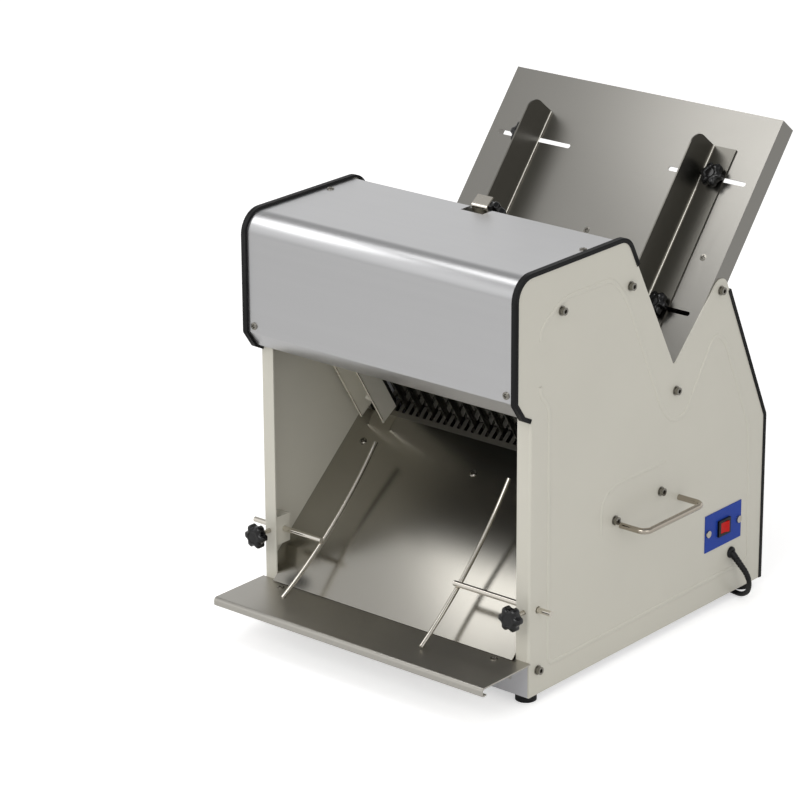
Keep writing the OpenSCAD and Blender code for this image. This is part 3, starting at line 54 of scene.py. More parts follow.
# Sloping parts: the angle of each, then in depth and height its foot, the way up along it and the way back
# from it, and normals with x, depth and height
CHUTE_SLOPE = math.radians(41.1821)
CHUTE_FOOT = np.array([-8.0, 50.5])
CHUTE_ALONG = np.array([math.cos(CHUTE_SLOPE), math.sin(CHUTE_SLOPE)])
CHUTE_NORMAL = (0.0, -math.sin(CHUTE_SLOPE), math.cos(CHUTE_SLOPE))
FEED_SLOPE = math.radians(51.0)
FEED_FOOT = np.array([309.171, 359.707])
FEED_ALONG = np.array([0.629320, 0.777146])
FEED_NORMAL = np.array([0.0, -0.777146, 0.629320])
BLADE_SLOPE = math.radians(-58.0)
BLADE_FOOT = np.array([221.067, 250.906])
BLADE_ALONG = np.array([-0.5299193, 0.8480481])
BLADE_BACK = np.array([0.8480481, 0.5299193])
HOLD_NORMAL = np.array([0.0, 0.885535, 0.464572])

SIDES = (("left", -1), ("right", 1))


def place(points):
    """Metres in the frame from rows of x, depth from the front edge and height over the base, in mm."""
    return (np.asarray(points, float) + [0.0, -MID_Y, FOOT_H]) * MM


def up_slope(x, up, foot, along, off=0.0, normal=(0.0, 0.0)):
    """Points at one x: foot + up along + off normal, with a distance up the slope for each point and one
    distance off it, or one for each."""
    up = np.asarray(up, float)
    off = np.broadcast_to(off, up.shape)
    flat = foot + up[:, None] * along + off[:, None] * np.asarray(normal)
    return place(np.concatenate([np.full((len(up), 1), x), flat], 1))


# Camera: turn round the object, height angle and roll in degrees, place in metres, and lens in millimetres
VIEW_ANGLES = (40.208, 20.076, -0.308)
VIEW_PLACE = (2.7299, -3.4456, 1.9053)
VIEW_LENS = 158.3
VIEW_SENSOR = 36.0
VIEW_CLIP = (0.1, 60.0)


def make_camera():
    """A long lens at three quarters from the front: the rows of the turn are the picture's right, up and
    backward directions."""
    azimuth, elevation, roll = (math.radians(angle) for angle in VIEW_ANGLES)
    back = Vector((math.sin(azimuth) * math.cos(elevation),
                   -math.cos(azimuth) * math.cos(elevation), math.sin(elevation)))
    right = (-back).cross(Vector((0, 0, 1))).normalized()
    up = right.cross(-back)
    level_right, level_up = right.copy(), up.copy()
    right = level_right * math.cos(roll) + level_up * math.sin(roll)
    up = level_up * math.cos(roll) - level_right * math.sin(roll)
    data = bpy.data.cameras.new("camera")
    data.lens = VIEW_LENS
    data.sensor_width = VIEW_SENSOR
    data.clip_start, data.clip_end = VIEW_CLIP
    camera = bpy.data.objects.new("camera", data)
    turn = Matrix((right, up, back)).transposed().to_4x4()
    camera.matrix_world = Matrix.Translation(VIEW_PLACE) @ turn
    scene.collection.objects.link(camera)
    scene.camera = camera


# Surfaces
def surface(points, loop_u=False, loop_v=False):
    """Corners and faces of a grid: each face joins (u, v), (u+1, v), (u+1, v+1) and (u, v+1), and a
    looped direction returns to its first row."""
    n, m = points.shape[:2]
    u, v = np.meshgrid(np.arange(n if loop_u else n - 1), np.arange(m if loop_v else m - 1), indexing="ij")
    next_u, next_v = (u + 1) % n, (v + 1) % m
    faces = np.stack([u * m + v, next_u * m + v, next_u * m + next_v, u * m + next_v], -1)
    return points.reshape(-1, 3), faces.reshape(-1, 4)


def directions(path):
    """Unit tangent at each point of a path, from the difference of its neighbours."""
    step = np.gradient(path, axis=0)
    return step / np.linalg.norm(step, axis=1, keepdims=True)


def sweep(path, radius, sides, first_side=(0.0, 0.0, 1.0)):
    """Round bar along a path: centre + radius(u) (cos v A + sin v B), with A and B square to the tangent and
    to each other and A square to first_side too, then closed by a point at each end."""
    path = np.asarray(path, float)
    tangent = directions(path)
    side = np.cross(tangent, np.asarray(first_side, float))
    side /= np.linalg.norm(side, axis=1, keepdims=True)
    other = np.cross(side, tangent)
    v = np.linspace(0, TAU, sides, endpoint=False)
    radius = np.broadcast_to(np.asarray(radius, float), (len(path),))[:, None, None]
    ring = np.cos(v)[None, :, None] * side[:, None, :] + np.sin(v)[None, :, None] * other[:, None, :]
    points = path[:, None, :] + radius * ring
    ends = [np.repeat(path[k][None, None, :], sides, axis=1) for k in (0, -1)]
    return surface(np.concatenate([ends[0], points, ends[1]]), loop_v=True)


def lathe(centre, axis, profile, sides, shape=None, lift=None):
    """Turned form: centre + (along(u) + lift(r, v)) axis + radius(u) shape(r, v) (cos v A + sin v B), with
    the profile's rows of radius and distance along the axis."""
    axis = np.asarray(axis, float) / np.linalg.norm(axis)
    helper = np.array([1.0, 0, 0]) if abs(axis[0]) < 0.9 else np.array([0, 1.0, 0])
    side = np.cross(axis, helper)
    side /= np.linalg.norm(side)
    other = np.cross(axis, side)
    profile = np.asarray(profile, float)
    v = np.linspace(0, TAU, sides, endpoint=False)
    ring = np.cos(v)[:, None] * side + np.sin(v)[:, None] * other
    reach = profile[:, 0][:, None] * np.ones(sides)
    along = profile[:, 1][:, None] * np.ones(sides)
    if shape is not None:
        reach = reach * shape(profile[:, :1], v[None, :])
    if lift is not None:
        along = along + lift(profile, v[None, :])
    points = np.asarray(centre, float) + along[..., None] * axis + reach[..., None] * ring
    return surface(points, loop_v=True)


def rounded(corners, radii, steps=8):
    """Polyline with its inner corners turned into arcs: each corner P becomes the quadratic curve
    (1-t)^2 A + 2t(1-t) P + t^2 B between the points A and B one radius away along its two sides."""
    corners = np.asarray(corners, float)
    t = np.linspace(0, 1, steps)[:, None]
    out = [corners[:1]]
    for before, here, after, r in zip(corners[:-2], corners[1:-1], corners[2:], radii):
        a = here + (before - here) * (r / np.linalg.norm(before - here))
        b = here + (after - here) * (r / np.linalg.norm(after - here))
        out.append((1 - t) ** 2 * a + 2 * t * (1 - t) * here + t * t * b)
    return np.concatenate(out + [corners[-1:]])


def smooth_route(points, spacing):
    """Points at equal spacing along a cubic curve through the given ones: the curve leaves each point
    along the line between its neighbours, P(t) = h00 P0 + h10 M0 + h01 P1 + h11 M1."""
    points = np.asarray(points, float)
    slope = np.gradient(points, axis=0)
    t = np.linspace(0, 1, 24, endpoint=False)[None, :, None]
    p0, p1, m0, m1 = points[:-1, None], points[1:, None], slope[:-1, None], slope[1:, None]
    curve = ((2 * t ** 3 - 3 * t ** 2 + 1) * p0 + (t ** 3 - 2 * t ** 2 + t) * m0
             + (3 * t ** 2 - 2 * t ** 3) * p1 + (t ** 3 - t ** 2) * m1).reshape(-1, 3)
    curve = np.concatenate([curve, points[-1:]])
    return even(curve, spacing)


def even(curve, spacing):
    """The same curve with points at equal spacing along its length."""
    run = np.concatenate([[0.0], np.cumsum(np.linalg.norm(np.diff(curve, axis=0), axis=1))])
    at = np.linspace(0, run[-1], max(2, int(round(run[-1] / spacing)) + 1))
    return np.stack([np.interp(at, run, curve[:, k]) for k in range(3)], 1)


def path_length(path):
    """Sum of the steps of a path."""
    return float(np.linalg.norm(np.diff(path, axis=0), axis=1).sum())


def piece(name, shells, material, body, replaces=(), sharp=40.0):
    """One mesh object of several shells, welded at seams and poles, facing outwards and riding a body."""
    corners = np.concatenate([c for c, _ in shells])
    starts = np.cumsum([0] + [len(c) for c, _ in shells[:-1]])
    faces = np.concatenate([f + s for (_, f), s in zip(shells, starts)])
    mesh = bpy.data.meshes.new(name)
    mesh.from_pydata(corners.tolist(), [], faces.tolist())
    form = bmesh.new()
    form.from_mesh(mesh)
    bmesh.ops.remove_doubles(form, verts=form.verts, dist=1e-6)
    bmesh.ops.dissolve_degenerate(form, edges=form.edges, dist=1e-7)
    bmesh.ops.recalc_face_normals(form, faces=form.faces)
    form.to_mesh(mesh)
    form.free()
    mesh.shade_smooth()
    mesh.set_sharp_from_angle(angle=math.radians(sharp))
    mesh.materials.append(material)
    obj = bpy.data.objects.new(name, mesh)
    scene.collection.objects.link(obj)
    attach(obj, body)
    if replaces:
        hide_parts(*replaces)
    return obj


# Shader helpers, with the places of a Mix node's sockets, whose names repeat
MIX_FACTOR, MIX_FLOAT_A, MIX_FLOAT_B, MIX_COLOUR_A, MIX_COLOUR_B = 0, 2, 3, 6, 7
MIX_FLOAT, MIX_COLOUR = 0, 2
MOST_PALE = 0.95


def tone(red, green, blue):
    """Linear colour from 8-bit display values: c / 12.92 below 0.04045, else ((c + 0.055) / 1.055)^2.4."""
    c = np.array([red, green, blue]) / 255.0
    c = np.where(c <= 0.04045, c / 12.92, ((c + 0.055) / 1.055) ** 2.4)
    return (*c.tolist(), 1.0)


def shade(colour, factor):
    """The colour made lighter or darker by a factor, within the range of a surface."""
    return (*[min(MOST_PALE, c * factor) for c in colour[:3]], 1.0)


def node(tree, kind, values=None, **settings):
    """A node with its settings and with values on its inputs."""
    made = tree.nodes.new(kind)
    for key, value in settings.items():
        setattr(made, key, value)
    for key, value in (values or {}).items():
        made.inputs[key].default_value = value
    return made


def tint(tree, shader, factor, colour, low, high):
    """Base colour that runs from low to high times a colour with a factor socket."""
    made = node(tree, "ShaderNodeMix", {MIX_COLOUR_A: shade(colour, low), MIX_COLOUR_B: shade(colour, high)},
                data_type="RGBA")
    tree.links.new(factor, made.inputs[MIX_FACTOR])
    tree.links.new(made.outputs[MIX_COLOUR], shader.inputs["Base Color"])


def span(tree, value, low, high):
    """Number that runs from low to high as a value socket runs from 0 to 1."""
    made = node(tree, "ShaderNodeMapRange", {"To Min": low, "To Max": high})
    tree.links.new(value, made.inputs["Value"])
    return made.outputs["Result"]


def new_group(name, inputs, outputs):
    """An empty shader node group with float or vector inputs and float outputs."""
    tree = bpy.data.node_groups.new(name, "ShaderNodeTree")
    for label, kind in inputs:
        tree.interface.new_socket(name=label, in_out="INPUT", socket_type=kind)
    for label in outputs:
        tree.interface.new_socket(name=label, in_out="OUTPUT", socket_type="NodeSocketFloat")
    return tree, node(tree, "NodeGroupInput"), node(tree, "NodeGroupOutput")


def make_brush_lines():
    """Fine lines of a brushed sheet, along the first axis of the vector, over broad soft bands."""
    tree, given, out = new_group("brush_lines", [("Vector", "NodeSocketVector")], ["Lines", "Bands"])
    fine = node(tree, "ShaderNodeTexNoise", {"Scale": 1.0, "Detail": 3.0, "Roughness": 0.6})
    broad = node(tree, "ShaderNodeTexNoise", {"Scale": 0.08, "Detail": 2.0})
    for texture, label in ((fine, "Lines"), (broad, "Bands")):
        tree.links.new(given.outputs["Vector"], texture.inputs["Vector"])
        tree.links.new(texture.outputs["Fac"], out.inputs[label])
    return tree


def make_surface_grain():
    """Small rounded grain, as of enamel or a moulded surface, with a slow drift of tone."""
    inputs = [("Vector", "NodeSocketVector"), ("Scale", "NodeSocketFloat")]
    tree, given, out = new_group("surface_grain", inputs, ["Grain", "Drift"])
    fine = node(tree, "ShaderNodeTexNoise", {"Detail": 2.0, "Roughness": 0.45})
    slow = node(tree, "ShaderNodeTexNoise", {"Scale": 7.0, "Detail": 3.0})
    tree.links.new(given.outputs["Vector"], fine.inputs["Vector"])
    tree.links.new(given.outputs["Scale"], fine.inputs["Scale"])
    tree.links.new(given.outputs["Vector"], slow.inputs["Vector"])
    tree.links.new(fine.outputs["Fac"], out.inputs["Grain"])
    tree.links.new(slow.outputs["Fac"], out.inputs["Drift"])
    return tree


def make_hand_marks():
    """Faint smears left by cleaning and handling: a warped noise, kept only where it is strong."""
    tree, given, out = new_group("hand_marks", [("Vector", "NodeSocketVector")], ["Mask"])
    smear = node(tree, "ShaderNodeTexNoise", {"Scale": 14.0, "Detail": 4.0, "Distortion": 0.6})
    kept = node(tree, "ShaderNodeMapRange", {"From Min": 0.5, "From Max": 0.75})
    tree.links.new(given.outputs["Vector"], smear.inputs["Vector"])
    tree.links.new(smear.outputs["Fac"], kept.inputs["Value"])
    tree.links.new(kept.outputs["Result"], out.inputs["Mask"])
    return tree


BRUSH_LINES = make_brush_lines()
SURFACE_GRAIN = make_surface_grain()
HAND_MARKS = make_hand_marks()


def start_material(name, **values):
    """An empty material: its tree, its shader with plain values set on the sockets, and its coordinates."""
    material = bpy.data.materials.new(name)
    material.use_nodes = True
    tree = material.node_tree
    shader = tree.nodes["Principled BSDF"]
    for key, value in values.items():
        shader.inputs[key.replace("_", " ")].default_value = value
    where = node(tree, "ShaderNodeTexCoord").outputs["Object"]
    return material, tree, shader, where


def use_group(tree, group, vector, **values):
    """A shared effect placed in a material with its own values."""
    made = node(tree, "ShaderNodeGroup", node_tree=group)
    tree.links.new(vector, made.inputs["Vector"])
    for key, value in values.items():
        made.inputs[key].default_value = value
    return made.outputs


def bump(tree, shader, height, strength, distance):
    """Relief from a height socket, into the shader's normal."""
    made = node(tree, "ShaderNodeBump", {"Strength": strength, "Distance": distance})
    tree.links.new(height, made.inputs["Height"])
    tree.links.new(made.outputs["Normal"], shader.inputs["Normal"])


# Roughness of enamel, and of brushed sheet the width and length of its lines in metres and what a smear adds
# to its roughness
ENAMEL_ROUGH = (0.32, 0.44)
LINE_W, LINE_RUN = 1 / 1400.0, 1 / 5.0
SMEAR_DULL = 0.012


def enamel(name, colour):
    """Sprayed enamel: orange-peel relief, a slow drift of tone, and smears in the gloss under a thin coat."""
    material, tree, shader, where = start_material(name, Coat_Weight=0.12, Coat_Roughness=0.2)
    grain = use_group(tree, SURFACE_GRAIN, where, Scale=420.0)
    tint(tree, shader, grain["Drift"], colour, 0.955, 1.045)
    marks = use_group(tree, HAND_MARKS, where)
    tree.links.new(span(tree, marks["Mask"], *ENAMEL_ROUGH), shader.inputs["Roughness"])
    bump(tree, shader, grain["Grain"], 0.08, 0.0004)
    return material


def brushed(name, colour, slope=0.0, *, rough, across=False, contrast=0.04, relief=0.006):
    """Brushed sheet: fine lines along X, or along a slope about X where across is set; the lines vary
    tone and gloss, and smears dull it a little."""
    material, tree, shader, where = start_material(name, Metallic=1.0)
    scale = (LINE_W, LINE_RUN, LINE_W) if across else (LINE_RUN, LINE_W, LINE_W)
    turn = node(tree, "ShaderNodeMapping", {"Rotation": (slope, 0, 0), "Scale": scale}, vector_type="TEXTURE")
    tree.links.new(where, turn.inputs["Vector"])
    lines = use_group(tree, BRUSH_LINES, turn.outputs["Vector"])
    both = node(tree, "ShaderNodeMath", {1: 0.5}, operation="MULTIPLY_ADD")
    tree.links.new(lines["Lines"], both.inputs[0])
    half = node(tree, "ShaderNodeMath", {1: 0.5}, operation="MULTIPLY")
    tree.links.new(lines["Bands"], half.inputs[0])
    tree.links.new(half.outputs[0], both.inputs[2])
    tint(tree, shader, both.outputs[0], colour, 1 - contrast, 1 + contrast)
    marks = use_group(tree, HAND_MARKS, where)
    dull = node(tree, "ShaderNodeMath", {1: SMEAR_DULL}, operation="MULTIPLY_ADD")
    tree.links.new(marks["Mask"], dull.inputs[0])
    tree.links.new(span(tree, lines["Lines"], *rough), dull.inputs[2])
    tree.links.new(dull.outputs[0], shader.inputs["Roughness"])
    bump(tree, shader, lines["Lines"], relief, 0.0002)
    return material


def plated(name, colour, rough=(0.08, 0.2)):
    """Polished or plated metal: faint smears in the gloss and a slow drift of tone."""
    material, tree, shader, where = start_material(name, Metallic=1.0)
    grain = use_group(tree, SURFACE_GRAIN, where, Scale=900.0)
    tint(tree, shader, grain["Drift"], colour, 0.92, 1.06)
    marks = use_group(tree, HAND_MARKS, where)
    tree.links.new(span(tree, marks["Mask"], *rough), shader.inputs["Roughness"])
    bump(tree, shader, grain["Grain"], 0.03, 0.0001)
    return material


def moulded(name, colour, *, rough, shine, grain_scale=1500.0, relief=0.15):
    """Moulded plastic or rubber: fine grain, with tone and gloss that drift slowly."""
    material, tree, shader, where = start_material(name, Specular_IOR_Level=shine)
    grain = use_group(tree, SURFACE_GRAIN, where, Scale=grain_scale)
    tint(tree, shader, grain["Drift"], colour, 0.8, 1.25)
    tree.links.new(span(tree, grain["Drift"], *rough), shader.inputs["Roughness"])
    bump(tree, shader, grain["Grain"], relief, 0.0002)
    return material


# Materials
cream_enamel = enamel("cream_enamel", tone(209, 206, 194))
hood_steel = brushed("hood_steel", tone(190, 190, 191), rough=(0.28, 0.34), contrast=0.045)
chute_steel = brushed("chute_steel", tone(172, 169, 161), CHUTE_SLOPE, across=True, rough=(0.19, 0.23),
                      contrast=0.03, relief=0.003)
tray_steel = brushed("tray_steel", tone(180, 177, 170), rough=(0.36, 0.42), contrast=0.05)
feed_steel = brushed("feed_steel", tone(142, 140, 135), FEED_SLOPE, rough=(0.27, 0.285), contrast=0.010,
                     relief=0.0006)
plain_steel = brushed("plain_steel", tone(176, 175, 172), rough=(0.34, 0.40), contrast=0.03)
guide_steel = brushed("guide_steel", tone(116, 114, 108), FEED_SLOPE, across=True, rough=(0.28, 0.34),
                      contrast=0.03)
comb_steel = brushed("comb_steel", tone(150, 147, 138), CHUTE_SLOPE, across=True, rough=(0.40, 0.48),
                     contrast=0.03)
blade_steel = brushed("blade_steel", tone(120, 119, 115), BLADE_SLOPE, across=True, rough=(0.24, 0.32))
channel_steel = brushed("channel_steel", tone(150, 147, 136), BLADE_SLOPE, rough=(0.30, 0.36), contrast=0.03)
grey_enamel = enamel("grey_enamel", tone(196, 196, 200))
bright_plate = plated("bright_plate", tone(214, 209, 199))
handle_plate = plated("handle_plate", tone(174, 166, 154), rough=(0.16, 0.26))
# Much brighter than the guides and channels that it trims: a painted highlight along their bends and hems
hem_highlight_plate = plated("hem_highlight_plate", tone(236, 232, 222), rough=(0.26, 0.36))
zinc_plate = plated("zinc_plate", tone(190, 184, 172), rough=(0.2, 0.34))
screw_plate = plated("screw_plate", tone(138, 135, 128), rough=(0.16, 0.26))
dark_iron = plated("dark_iron", tone(112, 112, 112), rough=(0.4, 0.55))
trim_rubber = moulded("trim_rubber", tone(10, 10, 11), rough=(0.46, 0.58), shine=0.2)
foot_rubber = moulded("foot_rubber", tone(18, 18, 19), rough=(0.5, 0.7), shine=0.25)
cord_rubber = moulded("cord_rubber", tone(20, 20, 20), rough=(0.34, 0.46), grain_scale=900.0, shine=0.3)
knob_plastic = moulded("knob_plastic", tone(10, 10, 11), rough=(0.10, 0.16), relief=0.02, shine=0.4)
switch_plastic = moulded("switch_plastic", tone(14, 14, 15), rough=(0.3, 0.45), shine=0.25)
blue_film = moulded("blue_film", tone(30, 64, 160), rough=(0.3, 0.42), relief=0.05, shine=0.15)
red_plastic = moulded("red_plastic", tone(198, 14, 10), rough=(0.16, 0.26), relief=0.04, shine=0.2)


# Stage: white world and floor, one broad key lamp, one fill and two dim cards seen in the sloping plates.
# Tones of the mirrored room go by height, from straight down at 0 and level to straight up at 1.
SKY_TINT = (1.0, 0.995, 0.985, 1)
SKY_LIGHT = 0.66
FRONT_TONES = [(0.0, 0.95), (0.35, 1.15), (0.5, 1.0), (0.66, 0.66), (0.76, 0.58), (1.0, 0.4)]
REAR_TONES = [(0.0, 1.0), (0.4, 1.0), (0.62, 0.42), (1.0, 0.34)]
ROOM_TURN = {"From Min": -0.24, "From Max": 0.0}
WINDOW_WAY = tuple(Vector((-0.62, -0.22, 0.75)).normalized())
WINDOW_EDGE = {"From Min": 0.962, "From Max": 0.995}
WINDOW_LIGHT = 0.1
FLOOR_TONE = (0.86, 0.86, 0.86, 1)
FLOOR_ROUGH = 0.9
FLOOR_LIFT = 0.5
FLOOR_SHINE = 0.1
FLOOR_RINGS = np.array([0.0, 2.0, 8.0, 30.0])
FLOOR_Z = -0.0002


def make_world():
    """White where the camera or clear matter sees it, softer for the light it sheds, and for a mirror a
    room: pale in front and low behind the object, dim overhead and behind, with one brighter window."""
    world = bpy.data.worlds.new("studio")
    scene.world = world
    world.use_nodes = True
    tree = world.node_tree
    sky = tree.nodes["Background"]
    sky.inputs["Color"].default_value = SKY_TINT
    sky.inputs["Strength"].default_value = SKY_LIGHT
    seen = node(tree, "ShaderNodeBackground", {"Color": (1, 1, 1, 1)})
    way = node(tree, "ShaderNodeSeparateXYZ")
    whole = node(tree, "ShaderNodeTexCoord")
    tree.links.new(whole.outputs["Generated"], way.inputs[0])
    turn = node(tree, "ShaderNodeMapRange", ROOM_TURN, interpolation_type="SMOOTHSTEP")
    tree.links.new(way.outputs["Y"], turn.inputs["Value"])
    room = node(tree, "ShaderNodeMix", data_type="FLOAT")
    tree.links.new(turn.outputs["Result"], room.inputs[MIX_FACTOR])
    for socket, levels in ((MIX_FLOAT_A, FRONT_TONES), (MIX_FLOAT_B, REAR_TONES)):
        ramp = node(tree, "ShaderNodeValToRGB")
        tones = ramp.color_ramp.elements
        for height, level in levels:
            element = tones.new(height) if 0 < height < 1 else tones[round(height) * (len(tones) - 1)]
            element.color = (level, level, level, 1)
        tree.links.new(way.outputs["Z"], ramp.inputs["Fac"])
        tree.links.new(ramp.outputs["Color"], room.inputs[socket])
    facing = node(tree, "ShaderNodeVectorMath", {1: WINDOW_WAY}, operation="DOT_PRODUCT")
    tree.links.new(whole.outputs["Generated"], facing.inputs[0])
    window = node(tree, "ShaderNodeMapRange", {**WINDOW_EDGE, "To Max": WINDOW_LIGHT},
                  interpolation_type="SMOOTHSTEP")
    tree.links.new(facing.outputs["Value"], window.inputs["Value"])
    walls = node(tree, "ShaderNodeMath", operation="ADD")
    tree.links.new(room.outputs[MIX_FLOAT], walls.inputs[0])
    tree.links.new(window.outputs["Result"], walls.inputs[1])
    path = node(tree, "ShaderNodeLightPath")
    white = node(tree, "ShaderNodeMath", operation="MAXIMUM")
    tree.links.new(path.outputs["Is Camera Ray"], white.inputs[0])
    tree.links.new(path.outputs["Is Transmission Ray"], white.inputs[1])
    strength = node(tree, "ShaderNodeMath", operation="MAXIMUM")
    tree.links.new(white.outputs[0], strength.inputs[0])
    tree.links.new(walls.outputs[0], strength.inputs[1])
    tree.links.new(strength.outputs[0], seen.inputs["Strength"])
    any_view = node(tree, "ShaderNodeMath", operation="MAXIMUM")
    tree.links.new(white.outputs[0], any_view.inputs[0])
    tree.links.new(path.outputs["Is Glossy Ray"], any_view.inputs[1])
    chosen = node(tree, "ShaderNodeMixShader")
    tree.links.new(any_view.outputs[0], chosen.inputs[0])
    tree.links.new(sky.outputs[0], chosen.inputs[1])
    tree.links.new(seen.outputs[0], chosen.inputs[2])
    tree.links.new(chosen.outputs[0], tree.nodes["World Output"].inputs["Surface"])


def make_floor():
    """Broad pale disc: matt white that takes the object's shadow, lifted to white where it is seen."""
    material = bpy.data.materials.new("floor_white")
    material.use_nodes = True
    tree = material.node_tree
    shader = tree.nodes["Principled BSDF"]
    shader.inputs["Base Color"].default_value = FLOOR_TONE
    shader.inputs["Roughness"].default_value = FLOOR_ROUGH
    shader.inputs["Specular IOR Level"].default_value = 0.0
    lift = node(tree, "ShaderNodeEmission", {"Color": (1, 1, 1, 1)})
    path = node(tree, "ShaderNodeLightPath")
    shiny = node(tree, "ShaderNodeMath", {1: FLOOR_SHINE}, operation="MULTIPLY")
    tree.links.new(path.outputs["Is Glossy Ray"], shiny.inputs[0])
    strength = node(tree, "ShaderNodeMath", {1: FLOOR_LIFT}, operation="MULTIPLY_ADD")
    tree.links.new(path.outputs["Is Camera Ray"], strength.inputs[0])
    tree.links.new(shiny.outputs[0], strength.inputs[2])
    tree.links.new(strength.outputs[0], lift.inputs["Strength"])
    both = node(tree, "ShaderNodeAddShader")
    tree.links.new(shader.outputs[0], both.inputs[0])
    tree.links.new(lift.outputs[0], both.inputs[1])
    tree.links.new(both.outputs[0], tree.nodes["Material Output"].inputs["Surface"])
    v = np.linspace(0, TAU, 64, endpoint=False)
    points = np.stack([FLOOR_RINGS[:, None] * np.cos(v), FLOOR_RINGS[:, None] * np.sin(v),
                       np.full((len(FLOOR_RINGS), len(v)), FLOOR_Z)], -1)
    corners, faces = surface(points, loop_v=True)
    mesh = bpy.data.meshes.new("floor")
    mesh.from_pydata(corners.tolist(), [], faces.tolist())
    mesh.materials.append(material)
    floor = bpy.data.objects.new("floor", mesh)
    scene.collection.objects.link(floor)


def make_lamp(name, place_at, aim, size, power):
    """Square area lamp at a place, turned to its aim."""
    data = bpy.data.lights.new(name, "AREA")
    data.energy = power
    data.size = size
    lamp = bpy.data.objects.new(name, data)
    lamp.location = place_at
    lamp.visible_camera = False
    lamp.rotation_mode = "QUATERNION"
    lamp.rotation_quaternion = (Vector(aim) - Vector(place_at)).to_track_quat("-Z", "Y")
    scene.collection.objects.link(lamp)


scene.view_settings.view_transform = "Standard"
make_camera()
make_world()
make_floor()
make_lamp("key", (0.5, -3.7, 2.7), (0, 0, 0.3), 2.2, 44.0)
make_lamp("fill", (3.2, -1.0, 1.6), (0, 0, 0.3), 1.6, 10.0)
make_lamp("feed_card", (-0.45, -0.36, 1.75), (0.25, 0.45, 0.65), 0.55, 2.6)
make_lamp("chute_card", (-0.40, -0.41, 0.86), (0.14, -0.17, 0.1), 0.24, 0.4)

# Finish of each CAD node, with the width of the round on its edges in millimetres
FINISH = {
    (cream_enamel, 0.0): ["left_side_panel", "right_side_panel", "comb_rails"],
    (cream_enamel, 0.5): ["clamp_blocks"],
    (hood_steel, 0.0): ["hood_cover"],
    (chute_steel, 0.0): ["chute_plate"],
    (tray_steel, 0.0): ["outfeed_tray", "tray_brackets"],
    (feed_steel, 0.0): ["feed_plate", "feed_brace"],
    (plain_steel, 0.0): ["rear_cover", "box_plate"],
    (comb_steel, 0.0): ["outfeed_comb", "infeed_comb"],
    (guide_steel, 0.0): ["left_infeed_guide", "right_infeed_guide"],
    (trim_rubber, 0.4): ["hood_trims", "rear_trims"],
    (trim_rubber, 0.0): ["drive_belt"],
    (foot_rubber, 0.8): ["feet"],
    (channel_steel, 0.0): ["guide_channels"],
    (grey_enamel, 0.0): ["base_pan", "blade_frame_a", "blade_frame_b", "connecting_rod_a", "connecting_rod_b",
                         "motor_cradle"],
    (zinc_plate, 0.0): ["tie_rods", "crankshaft"],
    (screw_plate, 0.35): ["panel_bolts", "panel_nuts"],
    (zinc_plate, 0.35): ["switch_screws"],
    (handle_plate, 0.0): ["lift_handles"],
    (bright_plate, 0.0): ["left_outfeed_guide", "right_outfeed_guide", "hold_down_strip"],
    (switch_plastic, 0.4): ["switch_housing"],
    (dark_iron, 0.0): ["bearing_housings", "motor", "motor_pulley"],
    (blue_film, 0.0): ["switch_plate"],
    (red_plastic, 0.5): ["switch_rocker"],
}

# Reach of the weld in metres, and the angles from which an edge is rounded or its shading splits
WELD_REACH = 2e-6
ROUND_FROM = math.radians(42)
SPLIT_FROM = math.radians(32)


def make_plain_shading():
    """Geometry nodes that leave out the normals and sharp marks stored with a CAD mesh, for a modifier, so
    that the mesh itself stays as it is."""
    tree = bpy.data.node_groups.new("plain_shading", "GeometryNodeTree")
    for way in ("INPUT", "OUTPUT"):
        tree.interface.new_socket(name="Geometry", in_out=way, socket_type="NodeSocketGeometry")
    form = node(tree, "NodeGroupInput").outputs["Geometry"]
    for stored in ("custom_normal", "sharp_edge", "sharp_face"):
        without = node(tree, "GeometryNodeRemoveAttribute", {"Name": stored})
        tree.links.new(form, without.inputs["Geometry"])
        form = without.outputs["Geometry"]
    tree.links.new(form, node(tree, "NodeGroupOutput").inputs["Geometry"])
    return tree


PLAIN_SHADING = make_plain_shading()


def dress(name, material, edge):
    """A CAD node in its finish: stored shading left out, corners welded, edges broken by a small round where
    one is given, and shading that follows the larger faces."""
    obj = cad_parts[name]
    obj.material_slots[0].material = material
    obj.modifiers.new("plain", "NODES").node_group = PLAIN_SHADING
    obj.modifiers.new("weld", "WELD").merge_threshold = WELD_REACH
    if edge:
        round_edge = obj.modifiers.new("edge", "BEVEL")
        round_edge.width = edge * MM
        round_edge.segments = 2
        round_edge.limit_method = "ANGLE"
        round_edge.angle_limit = ROUND_FROM
    else:
        obj.modifiers.new("split", "EDGE_SPLIT").split_angle = SPLIT_FROM
    obj.modifiers.new("follow", "WEIGHTED_NORMAL").keep_sharp = True


for (material, edge), names in FINISH.items():
    for name in names:
        dress(name, material, edge)


# Cord, in millimetres from the middle of the floor under the machine
CORD_ROUTE = np.array([
    (240.5, 214.5, 54), (245, 216, 48), (248, 218, 41), (250, 220, 32), (248, 223, 22), (243.5, 226, 13.5),
    (236, 229, 7.5), (229, 231, 4.6), (222, 233, 3.6), (205, 236, 3.6), (185, 239, 3.6), (164, 242, 3.6),
    (147, 247, 3.6), (133, 257, 3.6), (124, 271, 3.6), (120, 288, 3.6), (120, 304, 3.6), (120, 324, 4.2),
    (120, 344, 5), (120, 362, 5.2), (120, 380, 5.2)])
CORD_D = 7.0
COIL_R, COIL_PITCH, COIL_TURNS = 28.0, 7.6, 5.5
COIL_HALF = COIL_TURNS / 2
COIL_OUT = COIL_R + COIL_PITCH * COIL_HALF
COIL_MID = CORD_ROUTE[-1, :2] + [-COIL_OUT, CORD_D]
COIL_LOW, COIL_HIGH = CORD_ROUTE[-1, 2], CORD_ROUTE[-1, 2] + COIL_PITCH
PLUG_FACE = np.array([COIL_MID[0] - COIL_OUT, CORD_ROUTE[-1, 1], COIL_HIGH])
PLUG_WAY = (0, -1, 0)
